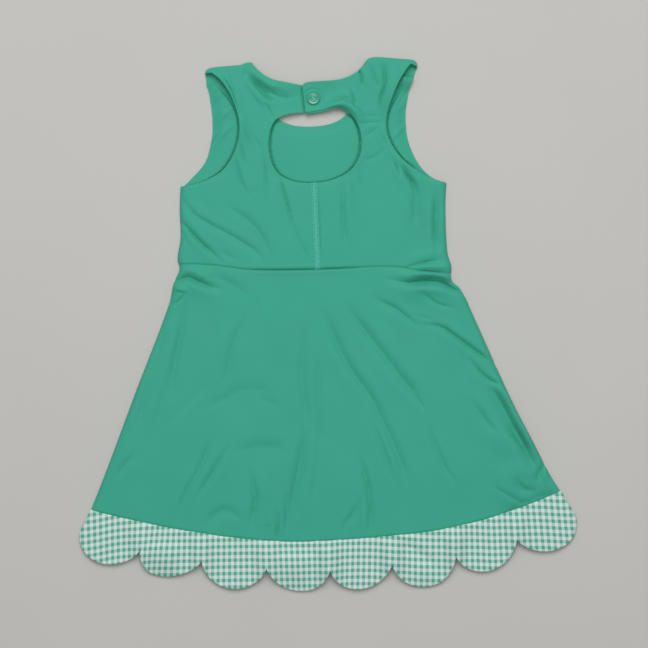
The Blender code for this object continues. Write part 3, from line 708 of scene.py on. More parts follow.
def above_zero(values, softness):
    """The values, bent to run out level at 0 where they are less."""
    return 0.5 * (values + np.sqrt(values * values + softness * softness))


def from_stud(points):
    return np.hypot(points[:, 0] - STUD.across, points[:, 1] - STUD.up)


def near_stud(points):
    """1 where the press stud holds the cloth flat, easing off to 0 around it."""
    return 1 - eased((from_stud(points) - STUD_FLAT) / STUD_RAMP)


def lift(points, folds):
    """Height of the back layer's underside above the surface it all lies on."""
    left, right = (across_at(side, points[:, 1]) for side in SIDES)
    room = np.clip(np.minimum(points[:, 0] - left, right - points[:, 0]) / PUFF_RAMP, 0.0, 1.0)
    near_hem = eased(1 + below(points, HEM_LINE) / HEM_RAMP)
    air = (PUFF + (HEM_PUFF - PUFF) * near_hem) * np.sqrt(1 - (1 - room) ** 2)
    for half in (LEFT, RIGHT):
        fold = np.array((half.back_armhole[-1], half.neck[0]))
        near = eased(1 - nearest_on(fold, points)[0] / SHOULDER_RAMP)
        air = air + (2 * SHOULDER_TURN - WALL - SEAM_GAP - air) * near
    air = air + fold_heights(points, folds)
    for wave in UNEVENNESS:
        air = air + undulation(points, wave)
    air = above_zero(air, AIR_BEND)
    air = MOST_LOFT - above_zero(MOST_LOFT - air, AIR_BEND)
    height = WALL + SEAM_GAP + air
    height = height + (NECK_BAND_LIFT - height) * near_stud(points)
    ring = (from_stud(points) - DIMPLE_AT) / DIMPLE_WIDTH
    return height - DIMPLE * np.exp(-ring * ring) + fold_heights(points, TAB_FOLDS)


def lap(points):
    """How far the right half stands above the level that both halves share."""
    in_band = eased((points[:, 1] - LAP_LOW) / (LAP_HIGH - LAP_LOW))
    return LAP_RISE * in_band * eased((LAP_FROM - points[:, 0]) / (LAP_FROM - LAP_TO))


def edge_roll(distance, depth, width):
    """How far the cloth drops towards an edge that is so far away."""
    return -depth * np.clip(1 - distance / width, 0.0, 1.0) ** 2


def below(points, line):
    """How far the points lie under a line that runs to the right, in plan."""
    return up_at(line, points[:, 0]) - points[:, 1]


# Meshes

SEWN_WITHIN = 0.02  # vertices this close are one
RIM_SHARE, RIM_ANGLE, RIM_STEPS = 0.32, 70, 2  # rims: width in the thickness, least corner in degrees


def placed(points, heights):
    """Plan points at their heights, in the dress's own frame and in metres."""
    heights = np.broadcast_to(heights, points.shape[:-1])
    return np.dstack([points[..., 0], points[..., 1] - MIDDLE, heights]) * MM


def grid_mesh(name, places, grain):
    """A sheet with a vertex at each place of the rows, and its grain as a UV map."""
    rows, columns = places.shape[:2]
    bm = bmesh.new()
    bm.loops.layers.uv.new("grain")
    bmesh.ops.create_grid(bm, x_segments=columns - 1, y_segments=rows - 1, size=1)
    mesh = bpy.data.meshes.new(name)
    bm.to_mesh(mesh)
    bm.free()
    mesh.vertices.foreach_set("co", places.astype(np.float32).ravel())
    corners = np.empty(len(mesh.loops), dtype=np.int32)
    mesh.loops.foreach_get("vertex_index", corners)
    layer = mesh.uv_layers["grain"]
    layer.uv.foreach_set("vector", grain.reshape(-1, 2)[corners].astype(np.float32).ravel())
    return mesh


def merged(name, *meshes):
    """The sheets as one mesh, sewn together where their vertices meet, facing up."""
    bm = bmesh.new()
    for mesh in meshes:
        bm.from_mesh(mesh)
        bpy.data.meshes.remove(mesh)
    bmesh.ops.remove_doubles(bm, verts=bm.verts, dist=SEWN_WITHIN * MM)
    bmesh.ops.recalc_face_normals(bm, faces=bm.faces)
    bm.normal_update()
    if sum(face.normal.z * face.calc_area() for face in bm.faces) < 0:
        bmesh.ops.reverse_faces(bm, faces=bm.faces)
    return as_mesh(bm, name)


def as_mesh(bm, name):
    mesh = bpy.data.meshes.new(name)
    bm.to_mesh(mesh)
    bm.free()
    mesh.shade_smooth()
    return mesh


def piece(name, mesh, material, slot, *nodes):
    """A piece of the dress, which stands for these nodes."""
    obj = bpy.data.objects.new(name, mesh)
    mesh.materials.append(material)
    bpy.context.scene.collection.objects.link(obj)
    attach(obj, "root")
    if nodes:
        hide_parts(*nodes)
    return obj


def given_thickness(obj, thick):
    """The sheet as a shell with rounded rims."""
    wall = obj.modifiers.new("Wall", "SOLIDIFY")
    wall.thickness = thick * MM
    wall.offset = 0
    rim = obj.modifiers.new("Rim", "BEVEL")
    rim.width = RIM_SHARE * thick * MM
    rim.segments = RIM_STEPS
    rim.limit_method = "ANGLE"
    rim.angle_limit = math.radians(RIM_ANGLE)
    return obj


def sheet_rows(top, bottom, left, right, shares_across, shares_down):
    """Rows of plan points that fill four edges."""
    top, bottom = at_shares(top, shares_across), at_shares(bottom, shares_across)
    left, right = at_shares(left, shares_down), at_shares(right, shares_down)
    u, v = shares_across[None, :, None], shares_down[:, None, None]
    level = top[None] * (1 - v) + bottom[None] * v
    upright = left[:, None] * (1 - u) + right[:, None] * u
    ends = top[0] * (1 - u) + top[-1] * u
    foot = bottom[0] * (1 - u) + bottom[-1] * u
    return level + upright - (ends * (1 - v) + foot * v)


# The skirt and its gingham band

SKIRT_SPACING, SKIRT_ROW_SPACING, FRONT_SPACING = 2.0, 1.45, 4.0
SKIRT_WIDE, SKIRT_DEEP, BAND_DEEP = 490.0, 256.0, 40.0  # about, to space the vertices by
CROWDING = 0.3  # of the rows under the waist, where the cloth is crumpled most
BAND_STEPS, BAND_ROW_SPACING, FRONT_BAND_STEPS = 36, 1.6, 20  # steps: to a scallop
SEAM_DIP, SEAM_DIP_WIDTH = 1.5, 1.6  # how far the upper of two sewn edges turns in, and over what width
SEAM_SINK, SEAM_SINK_WIDTH = 1.3, 1.6  # and the lower one
EDGE_DIP, EDGE_DIP_WIDTH = 0.3, 1.8
SIDE_DIP, BODICE_SIDE_DIP, SIDE_DIP_WIDTH = 1.3, 0.7, 5.0  # the dress turns under at its sides
# The edges of the armholes and the keyhole lie lower at the bottom and stand up further up
EDGE_LOW, EDGE_STAND, EDGE_STAND_WIDTH = -1.2, 0.9, 15.0
EDGE_STAND_FROM, EDGE_STAND_TO = 408.0, 436.0  # up
CUSP_RISE, CUSP_WIDTH, CUSP_POWER = 1.7, 8.0, 1.5  # the points between the scallops are cut further in
BAND_TUCK = 0.25  # the band runs on under the skirt's edge
LOWEST_BACK = WALL + CLOTH / 2 + 0.05  # the middle of the back layer's cloth where it lies on the front's


def waist_line(start, end, rise, steps):
    """The waist seam between two places across."""
    places = np.linspace(start, end, steps + 1)
    return np.column_stack([places, up_at(WAIST_LINE, places) + rise])


def skirt_plan(inset, across_spacing, down_spacing):
    """Rows of plan points from the waist seam to the hem seam."""
    top = waist_line(WAIST[0].across, WAIST[-1].across, 0.0, FINE)
    bottom = HEM_LINE.copy()
    left = moved_aside(smooth_line(LEFT_SKIRT_SIDE), inset)
    right = moved_aside(smooth_line(RIGHT_SKIRT_SIDE), -inset)
    for edge in (top, bottom):
        edge[0] += (inset, 0)
        edge[-1] -= (inset, 0)
    left[0], left[-1] = top[0], bottom[0]
    right[0], right[-1] = top[-1], bottom[-1]
    down = close_shares(SKIRT_DEEP, down_spacing)
    down = down + CROWDING * (down * down - down)
    return sheet_rows(top, bottom, left, right, close_shares(SKIRT_WIDE, across_spacing), down)


def scalloped_edge(inset, steps):
    """The lower edge of the band: a leaning arc for each scallop."""
    cusps = np.array([spot[:2] for spot in SCALLOPS] + [BAND_RIGHT_END])
    edge = [cusps[:1]]
    for scallop, start, end in zip(SCALLOPS, cusps, cusps[1:]):
        half = np.linalg.norm(end - start) / 2
        radius = (half**2 + scallop.bulge**2) / (2 * scallop.bulge)
        angle = math.asin(half / radius) * np.linspace(-1, 1, steps + 1)[1:, None]
        heading = (end - start) / np.linalg.norm(end - start)
        down = np.array((heading[1], -heading[0]))
        depth = scallop.bulge - radius + radius * np.cos(angle)
        along = radius * np.sin(angle) + scallop.lean * depth / scallop.bulge
        edge.append((start + end) / 2 + heading * along + down * depth)
    edge = np.vstack(edge)
    nearest = np.abs(edge[:, None, 0] - cusps[None, 1:-1, 0]).min(axis=1)
    edge[:, 1] += CUSP_RISE * np.clip(1 - nearest / CUSP_WIDTH, 0.0, 1.0) ** CUSP_POWER
    edge = moved_aside(edge, inset)
    edge[0] += (inset, 0)
    edge[-1] -= (inset, 0)
    return edge


def band_plan(inset, scallop_steps, spacing):
    """Rows of plan points from the hem seam to the scalloped edge."""
    columns = len(SCALLOPS) * scallop_steps
    top = at_shares(moved_aside(HEM_LINE, BAND_TUCK), np.linspace(0, 1, columns + 1))
    top[0] += (inset, 0)
    top[-1] -= (inset, 0)
    bottom = scalloped_edge(inset, scallop_steps)
    v = close_shares(BAND_DEEP, spacing)[:, None, None]
    return top[None] * (1 - v) + bottom[None] * v


def check_of(plan):
    """The gingham's columns and rows at each plan point, in repeats. Its dark checks are at the halves."""
    points = plan.reshape(-1, 2)
    lean = np.interp(points[:, 0], *zip(*CHECK_LEANS)) / 10
    upright = points[:, 0] - lean * (below(points, HEM_LINE) - LEAN_FROM)
    columns = np.interp(upright, *zip(*CHECK_COLUMNS)) + 0.5
    rows = below(points, smooth_line(CHECK_ROW)) / ROW_REPEAT + 0.5
    return np.column_stack([columns, rows]).reshape(plan.shape)


def side_roll(plan):
    """How far a sheet drops towards the dress's sides."""
    heights = np.zeros(plan.shape[:-1])
    for edge in (plan[:, :1], plan[:, -1:]):
        heights += edge_roll(np.linalg.norm(plan - edge, axis=2), SIDE_DIP, SIDE_DIP_WIDTH)
    return heights


def skirt_heights(plan):
    points = plan.reshape(-1, 2)
    heights = lift(points, SKIRT_FOLDS) + WALL / 2
    heights += edge_roll(-below(points, HEM_LINE), SEAM_DIP, SEAM_DIP_WIDTH)
    heights += edge_roll(below(points, WAIST_LINE), SEAM_SINK, SEAM_SINK_WIDTH)
    return np.maximum(heights.reshape(plan.shape[:-1]) + side_roll(plan), LOWEST_BACK)


def band_heights(plan):
    points = plan.reshape(-1, 2)
    heights = lift(points, BAND_FOLDS) + WALL / 2
    heights += edge_roll(below(points, HEM_LINE), SEAM_SINK, SEAM_SINK_WIDTH)
    heights = heights.reshape(plan.shape[:-1])
    to_edge = np.linalg.norm(plan - plan[-1:], axis=2)
    heights = heights + edge_roll(to_edge, EDGE_DIP, EDGE_DIP_WIDTH) + side_roll(plan)
    return np.maximum(heights, LOWEST_BACK)


def panel(name, places, grain, thick, material, slot):
    """A sheet of the skirt or the band, as the cloth that stands for the node of this name."""
    mesh = merged(name, grid_mesh(name, places, grain))
    return given_thickness(piece(name + "_cloth", mesh, material, slot, name), thick)


def skirt_and_band(knit, gingham):
    plan = skirt_plan(0.0, SKIRT_SPACING, SKIRT_ROW_SPACING)
    back_skirt = panel("back_skirt", placed(plan, skirt_heights(plan)), plan, CLOTH, knit, "green_knit")
    plan = skirt_plan(FRONT_INSET, FRONT_SPACING, FRONT_SPACING)
    front_skirt = panel("front_skirt", placed(plan, WALL / 2), plan, WALL, knit, "green_knit")
    plan = band_plan(0.0, BAND_STEPS, BAND_ROW_SPACING)
    places = placed(plan, band_heights(plan))
    back_band = panel("back_hem_band", places, check_of(plan), CLOTH, gingham, "green_gingham")
    plan = band_plan(FRONT_INSET, FRONT_BAND_STEPS, FRONT_SPACING)
    places = placed(plan, WALL / 2)
    front_band = panel("front_hem_band", places, check_of(plan), WALL, gingham, "green_gingham")
    return back_skirt, front_skirt, back_band, front_band


# The bodice

# The front swells up through the armholes and the keyhole. Beside the back's edge it leaves a cleft,
# whose foot is where the swelling starts and whose head is where it has risen.
SWELL, SWELL_EDGE = 3.2, 12.0  # by how much, and the distance from its own edge over which it does
CLEFT, CLEFT_FROM, CLEFT_RAMP = 2.1, 404.0, 38.0  # width of the cleft, and from how far up it opens
STRAP_CLEFT, STRAP_FROM, STRAP_RAMP = 3.6, 478.0, 34.0  # how much wider it is beside the straps
CLEFT_WALL, STRAP_WALL = 1.0, 4.0  # width of the cleft's far wall, and how much wider that is there
OPENING_STEPS = 120
SNAP = 0.45  # vertices so near to the foot or the head of that wall are moved onto it
LOW_STEPS, SIDE_STEPS, NARROWING_STEPS, STRAP_STEPS, SHOULDER_STEPS, NECK_STEPS = 52, 22, 50, 44, 30, 64
TURN_STEPS, UNDER_STEPS = 20, 5  # round the shoulder fold, and on to the seam under it
FRONT_SIDE_STEPS, FRONT_CHEST_STEPS, FRONT_STRAP_STEPS = 34, 46, 92
HALF_WIDE, HALF_SPACING, FRONT_HALF_SPACING = 70.0, 0.6875, 0.95  # the first is about the width
OWN_EDGE = 2.5  # the front's vertices so near to its own edge stay where they are
# The facing: the share of the keyhole where it starts to show, how far it shows, how far it runs on
# under the edge, how far it lies below the cloth, its rows, and how soon it shows in full
FACING_FROM, FACING_PEEP, FACING_UNDER, FACING_DROP, FACING_ROWS, FACING_EASE = 0.62, 1.7, 4.0, 1.5, 6, 4
# The allowance turned in under a clean edge shows as a low ridge, from and to so far from the edge
LIP, LIP_FROM, LIP_RISE, LIP_TO, LIP_FALL = 0.06, 0.6, 1.0, 7.0, 2.5


def ribbon_rows(inner, outer, waist, shares, side_steps):
    """Rows from the inner edge to the outer one. The first lies on the waist seam, and the curve of
    that seam fades out by the underarm."""
    u = shares[None, :, None]
    rows = inner[:, None] * (1 - u) + outer[:, None] * u
    fade = np.clip(1 - np.arange(len(inner)) / side_steps, 0.0, 1.0) ** 2
    off_straight = waist - (waist[0] * (1 - shares[:, None]) + waist[-1] * shares[:, None])
    return rows + off_straight[None] * fade[:, None, None]


def standing(points):
    """How far the edge of an armhole or the keyhole stands up at these places."""
    rise = eased((points[..., 1] - EDGE_STAND_FROM) / (EDGE_STAND_TO - EDGE_STAND_FROM))
    held = near_stud(points.reshape(-1, 2)).reshape(points.shape[:-1])
    return (EDGE_LOW + (EDGE_STAND - EDGE_LOW) * rise) * (1 - held)


def clean_edge(distance):
    """The roll and the low ridge beside an edge that is turned in."""
    ridge = eased((distance - LIP_FROM) / LIP_RISE) * eased((LIP_TO - distance) / LIP_FALL)
    return edge_roll(distance, EDGE_DIP, EDGE_DIP_WIDTH) + LIP * ridge


def back_half(name, half, knit):
    """One half of the back bodice, as a ribbon round its side of the keyhole, with its strap turned
    over the shoulder."""
    keyhole = smooth_line(half.keyhole)
    inner = joined(
        stretch(CENTRE_LINE, 0, 1, LOW_STEPS) + (half.hand * SEAM_GAP / 4, 0),
        stretch(keyhole, 0, half.keyhole_narrow, SIDE_STEPS + NARROWING_STEPS),
        stretch(keyhole, half.keyhole_narrow, half.keyhole_strap, STRAP_STEPS),
        stretch(keyhole, half.keyhole_strap, half.keyhole_band, SHOULDER_STEPS),
        stretch(keyhole, half.keyhole_band, 1, NECK_STEPS),
    )
    side, armhole = smooth_line(half.side), smooth_line(half.back_armhole)
    turn = stretch(smooth_line((half.back_armhole[-1], half.neck[0])), 0, 1, SHOULDER_STEPS)
    outer = joined(
        stretch(side, 0, half.side_low, LOW_STEPS),
        stretch(side, half.side_low, 1, SIDE_STEPS),
        stretch(armhole, 0, half.armhole_narrow, NARROWING_STEPS),
        stretch(armhole, half.armhole_narrow, 1, STRAP_STEPS),
        turn,
        stretch(smooth_line(half.neck), 0, 1, NECK_STEPS),
    )
    shares = close_shares(HALF_WIDE, HALF_SPACING)
    waist = at_shares(waist_line(CENTRE_SEAM[0].across, half.side[0].across, 0.0, FINE), shares)
    inner[0], outer[0] = waist[0], waist[-1]
    plan = ribbon_rows(inner, outer, waist, shares, LOW_STEPS)
    points = plan.reshape(-1, 2)
    heights = lift(points, BODICE_FOLDS) + WALL / 2
    heights += edge_roll(-below(points, WAIST_LINE), SEAM_DIP, SEAM_DIP_WIDTH)
    heights += lap(points) if half is RIGHT else fold_heights(points, TAB_END)
    heights = heights.reshape(plan.shape[:-1])
    from_inner = np.linalg.norm(plan - plan[:, :1], axis=2)
    from_outer = np.linalg.norm(plan - plan[:, -1:], axis=2)
    stand = standing(plan)
    edges = clean_edge(from_inner) + stand * eased(1 - from_inner / EDGE_STAND_WIDTH)
    edges[: LOW_STEPS + 1] = edge_roll(from_inner[: LOW_STEPS + 1], SEAM_DIP, SEAM_DIP_WIDTH)
    first = LOW_STEPS + SIDE_STEPS + NARROWING_STEPS + STRAP_STEPS
    outer_edge = clean_edge(from_outer)
    outer_edge[: first + 1] += (stand * eased(1 - from_outer / EDGE_STAND_WIDTH))[: first + 1]
    outer_edge[first + 1 : -NECK_STEPS] = 0.0
    outer_edge[: LOW_STEPS + SIDE_STEPS + 1] = edge_roll(
        from_outer[: LOW_STEPS + SIDE_STEPS + 1], BODICE_SIDE_DIP, SIDE_DIP_WIDTH
    )
    heights = np.maximum(heights + edges + outer_edge, LOWEST_BACK)
    strap_end = slice(first, first + SHOULDER_STEPS + 1)
    places = placed(plan, heights)
    sheets = [grid_mesh(name, places, plan), grid_mesh(name, *turned_over(half, turn, places[strap_end, -1]))]
    if half is RIGHT:
        sheets.append(facing(keyhole))
    obj = piece(name + "_cloth", merged(name, *sheets), knit, "green_knit", name)
    return given_thickness(obj, CLOTH)


def facing(keyhole):
    """The right half's facing, which peeps out under its edge along the top of the keyhole."""
    edge = stretch(keyhole, FACING_FROM, 1, NARROWING_STEPS)
    peep = FACING_PEEP * eased(np.linspace(0, FACING_EASE, len(edge)))[:, None]
    shares = np.linspace(0, 1, FACING_ROWS)
    plan = np.stack([moved_aside(edge, share * (FACING_UNDER + peep) - FACING_UNDER) for share in shares])
    points = plan.reshape(-1, 2)
    heights = lift(points, BODICE_FOLDS) + lap(points) + standing(points) + WALL / 2 - FACING_DROP
    return grid_mesh("facing", placed(plan, heights.reshape(plan.shape[:-1])), plan)


def turned_over(half, turn, strap_end):
    """The strap's end carried over the shoulder fold and back under itself to the shoulder seam."""
    shares = np.linspace(0, 1, SHOULDER_STEPS + 1)
    over, end = (at_shares(smooth_line(line), shares) for line in (half.shoulder_fold, half.shoulder_seam))
    heading = (end - over) / np.linalg.norm(end - over, axis=1)[:, None]
    top = over + heading * WALL / 2
    under = top + heading * SHOULDER_TURN
    rows, grain = [strap_end], [turn]
    for step in range(1, TURN_STEPS + UNDER_STEPS + 1):
        angle = math.pi * min(1, step / TURN_STEPS)
        start = turn if angle < math.pi / 2 else under
        point = start + (top - start) * math.sin(angle)
        if step > TURN_STEPS:
            point = under + (end - under) * (step - TURN_STEPS) / UNDER_STEPS
        height = WALL / 2 + SHOULDER_TURN * (1 + math.cos(angle))
        rise = strap_end[:, 2] / MM - WALL / 2 - 2 * SHOULDER_TURN
        rows.append(placed(point, height + rise * max(0.0, math.cos(angle))))
        grain.append(turn + (0, SHOULDER_TURN * angle))
    return np.stack([np.atleast_3d(row).reshape(-1, 3) for row in rows]), np.stack(grain)


def cleft_wall(points):
    """How far from the back's edge the front starts to rise and where it has risen, by height."""
    up = points[:, 1]
    strap = eased((up - STRAP_FROM) / STRAP_RAMP)
    foot = CLEFT * eased((up - CLEFT_FROM) / CLEFT_RAMP) + STRAP_CLEFT * strap
    return foot, foot + CLEFT_WALL + STRAP_WALL * strap


def drawn_onto(line, points, reach):
    """The points, with those that lie within reach of the line moved onto it."""
    distance, _, share = nearest_on(line, points)
    steps = np.linspace(0, 1, len(line))
    foot = np.column_stack([np.interp(share, steps, line[:, axis]) for axis in (0, 1)])
    return np.where((distance < reach)[:, None], foot, points)


def beside_opening(points, opening, own_edge):
    """The points, some of them moved to where the cleft's wall starts and ends, and how far the front
    swells up there through an opening of the back, which lies to the left of the opening's edge."""
    own_edge = stretch(own_edge, 0, 1, OPENING_STEPS)
    opening = stretch(opening, 0, 1, OPENING_STEPS)
    free = nearest_on(own_edge, points)[0] > OWN_EDGE
    for offset in cleft_wall(opening):
        line = moved_aside(opening, offset[:, None])
        points = np.where(free[:, None], drawn_onto(line, points, SNAP), points)
    distance, side, _ = nearest_on(opening, points)
    foot, head = cleft_wall(points)
    risen = eased((np.where(side > 0, distance, 0.0) - foot) / (head - foot))
    return points, SWELL * risen * eased(nearest_on(own_edge, points)[0] / SWELL_EDGE)


def front_bodice(knit):
    """The front bodice, flat on the surface, with its inside showing in the armholes and keyhole."""
    neck = smooth_line(FRONT_NECK)
    low = at_shares(neck, [FRONT_NECK_LOW])[0]
    side_steps, chest_steps, strap_steps = FRONT_SIDE_STEPS, FRONT_CHEST_STEPS, FRONT_STRAP_STEPS
    keyhole = joined(smooth_line(RIGHT.keyhole), smooth_line(LEFT.keyhole)[::-1])
    armholes = {
        LEFT.hand: (smooth_line(LEFT.back_armhole), smooth_line(LEFT.front_armhole)),
        RIGHT.hand: (smooth_line(RIGHT.back_armhole)[::-1], smooth_line(RIGHT.front_armhole)),
    }
    meshes = []
    for half in (LEFT, RIGHT):
        inset = np.array((half.hand * FRONT_INSET, 0))
        shares = close_shares(HALF_WIDE, FRONT_HALF_SPACING, at_start=False)
        waist = at_shares(waist_line(CENTRE_SEAM[0].across, half.side[0].across, 0.0, FINE), shares)
        waist[-1] -= inset
        line = np.array((waist[0], low))
        chest = np.array((across_at(line, UNDERARM), UNDERARM))
        neck_side = stretch(neck, FRONT_NECK_LOW, 1 if half is RIGHT else 0, strap_steps)
        inner = joined(
            stretch(np.array((waist[0], chest)), 0, 1, side_steps),
            stretch(np.array((chest, low)), 0, 1, chest_steps),
            neck_side,
        )
        side = stretch(smooth_line(half.side), 0, 1, side_steps) - inset
        armhole = stretch(smooth_line(half.front_armhole), 0, 1, chest_steps + strap_steps)
        outer = joined(side, armhole)
        outer[side_steps] = side[-1]
        outer[0] = waist[-1]
        plan = ribbon_rows(inner, outer, waist, shares, side_steps)
        points, under_keyhole = beside_opening(plan.reshape(-1, 2), keyhole, neck)
        points, under_armhole = beside_opening(points, *armholes[half.hand])
        heights = WALL / 2 + np.maximum(under_keyhole, under_armhole) + fold_heights(points, FRONT_FOLDS)
        plan, heights = points.reshape(plan.shape), heights.reshape(plan.shape[:-1])
        meshes.append(grid_mesh("front", placed(plan, heights), plan))
    obj = piece("front_bodice_cloth", merged("front", *meshes), knit, "green_knit", "front_bodice")
    return given_thickness(obj, WALL)


# The press stud

ROUND_STEPS, ROUND_MERGE = 64, 0.005


def turned_piece(name, profile, height, material, stands_for):
    """A round piece of the stud from (radius, height) pairs, from the top of its axis down its side."""
    bm = bmesh.new()
    verts = [bm.verts.new(Vector((radius, 0, level)) * MM) for radius, level in profile]
    edges = [bm.edges.new(pair) for pair in zip(verts, verts[1:])]
    bmesh.ops.spin(
        bm,
        geom=verts + edges,
        cent=(0, 0, 0),
        axis=(0, 0, 1),
        angle=2 * math.pi,
        steps=ROUND_STEPS,
        use_merge=True,
    )
    bmesh.ops.remove_doubles(bm, verts=bm.verts, dist=ROUND_MERGE * MM)
    bmesh.ops.recalc_face_normals(bm, faces=bm.faces)
    place = Vector((STUD.across, STUD.up - MIDDLE, height)) * MM
    bmesh.ops.translate(bm, verts=bm.verts, vec=place)
    return piece(name, as_mesh(bm, name), material, "green_plastic", stands_for)


def press_stud(plastic):
    """The cap on the right half, the cap under the left half, and the socket and stud between them."""
    under = NECK_BAND_LIFT
    cap = [
        (0.0, 0.8),
        (1.0, 0.8),
        (1.2, 0.88),
        (1.35, 0.88),
        (1.55, 0.8),
        (2.8, 0.8),
        (3.05, 0.88),
        (3.15, 0.88),
        (3.4, 0.8),
        (5.8, 0.8),
        (6.15, 1.0),
        (6.3, 1.02),
        (6.5, 0.95),
        (6.8, 0.72),
        (7.0, 0.5),
        (6.95, 0.2),
        (6.7, 0.0),
        (0.0, 0.0),
    ]
    joint = [
        (0.0, JOINT_THICK),
        (5.4, JOINT_THICK),
        (5.6, 0.9 * JOINT_THICK),
        (5.4, 0.6 * JOINT_THICK),
        (4.2, 0.5 * JOINT_THICK),
        (5.9, 0.38 * JOINT_THICK),
        (6.1, 0.2 * JOINT_THICK),
        (5.9, 0.0),
        (0.0, 0.0),
    ]
    flipped = [(radius, -level) for radius, level in reversed(cap)]
    turned_piece("stud_cap_detailed", cap, under + LAP_RISE + WALL + SEAM_GAP, plastic, "stud_cap")
    turned_piece("stud_joint_detailed", joint, under + WALL + SEAM_GAP, plastic, "stud_joint")
    turned_piece("stud_under_cap_detailed", flipped, under - SEAM_GAP, plastic, "stud_under_cap")


# The sewing

# How far apart stitches are, how long and thick each is, and how high its middle is above the cloth
Stitch = namedtuple("Stitch", "apart length thick above")
SEAM_STITCH = Stitch(1.9, 2.1, 1.05, 0.2)
COVER_STITCH = Stitch(0.75, 5.6, 0.8, -0.05)
HEM_STITCH = Stitch(2.7, 2.0, 0.5, -0.02)
STITCH_SIDES, STITCH_RINGS = 6, 5
SEAM_HALF_WIDTH = 2.35  # from the centre seam to the outer rows of its cover stitch
CROSSING_LEAN = 0.35  # of the threads that cross, to each side in turn
HEM_ROW, HEM_ENDS = 2.0, 6  # the topstitch above the seam, and the seam's points without it at each end


def along(line, spacing):
    """Points this far apart along a line, and its headings there."""
    length = np.linalg.norm(np.diff(line, axis=0), axis=1).sum()
    count = max(2, round(length / spacing))
    shares = (np.arange(count) + 0.5) / count
    points = at_shares(line, shares)
    ahead = at_shares(line, np.minimum(shares + 0.5 / count, 1.0))
    return points, ahead - points


def stitches(name, points, headings, folds, stitch, thread):
    """A thread's visible stitches on the cloth, one at each point, as one piece."""
    tops = lift(points, folds) + WALL / 2 + CLOTH / 2 + stitch.above
    scales = (stitch.length / 2 * MM, stitch.thick / 2 * MM, stitch.thick / 2 * MM, 1.0)
    bm = bmesh.new()
    for place, heading in zip(placed(points[None], tops)[0], headings):
        turn = Matrix.Rotation(math.atan2(heading[1], heading[0]), 4, "Z")
        matrix = Matrix.Translation(place) @ turn @ Matrix.Diagonal(scales)
        bmesh.ops.create_uvsphere(
            bm, u_segments=STITCH_SIDES, v_segments=STITCH_RINGS, radius=1.0, matrix=matrix
        )
    return piece(name, as_mesh(bm, name), thread, "green_knit")


def centre_seam_sewing(thread):
    """The centre seam's cover stitch: rows of thread on both sides, joined by threads that cross."""
    offsets = SEAM_HALF_WIDTH * np.linspace(-1, 1, 4)
    rows = [along(moved_aside(CENTRE_LINE, offset), SEAM_STITCH.apart) for offset in offsets]
    points, headings = (np.vstack(lines) for lines in zip(*rows))
    lengthwise = stitches("centre_seam_rows", points, headings, BODICE_FOLDS, SEAM_STITCH, thread)
    points, headings = along(CENTRE_LINE, COVER_STITCH.apart)
    ahead = headings / np.linalg.norm(headings, axis=1)[:, None]
    lean = np.where(np.arange(len(points)) % 2, CROSSING_LEAN, -CROSSING_LEAN)[:, None]
    crossing = np.column_stack([ahead[:, 1], -ahead[:, 0]]) + lean * ahead
    across = stitches("centre_seam_cover", points, crossing, BODICE_FOLDS, COVER_STITCH, thread)
    return lengthwise, across


def hem_sewing(thread):
    """The topstitch just above the hem seam."""
    points, headings = along(moved_aside(HEM_LINE, HEM_ROW)[HEM_ENDS:-HEM_ENDS], HEM_STITCH.apart)
    return stitches("hem_topstitch", points, headings, SKIRT_FOLDS, HEM_STITCH, thread)


# Materials


def linear(code):
    """A hex sRGB colour as linear RGBA."""
    parts = [int(code[place : place + 2], 16) / 255 for place in (0, 2, 4)]
    return (*(part / 12.92 if part <= 0.04045 else ((part + 0.055) / 1.055) ** 2.4 for part in parts), 1.0)


def feed(tree, made, inputs):
    """Sets a node's inputs to values, or links them to sockets or to the first output of nodes."""
    for key, value in inputs.items():
        if isinstance(value, bpy.types.Node):
            value = value.outputs[0]
        if isinstance(value, bpy.types.NodeSocket):
            tree.links.new(value, made.inputs[key])
        else:
            made.inputs[key].default_value = value


def node(tree, kind, inputs=None, **settings):
    """Adds a node with its settings and inputs."""
    made = tree.nodes.new(kind)
    for name, value in settings.items():
        setattr(made, name, value)
    feed(tree, made, inputs or {})
    return made


def bare_material(name):
    material = bpy.data.materials.new(name)
    material.use_nodes = True
    return material, material.node_tree, material.node_tree.nodes["Principled BSDF"]


def wave_across(tree, place, count):
    """A sine wave along one direction of the cloth, with so many crests to a unit."""
    angle = node(tree, "ShaderNodeMath", {0: place, 1: 2 * math.pi * count}, operation="MULTIPLY")
    return node(tree, "ShaderNodeMath", {0: angle}, operation="SINE")


def mottled(tree, noise_inputs, first, second):
    """Two close colours in soft patches."""
    shade = node(tree, "ShaderNodeTexNoise", noise_inputs)
    colours = {0: shade, 6: linear(first), 7: linear(second)}
    return node(tree, "ShaderNodeMix", colours, data_type="RGBA").outputs[2]


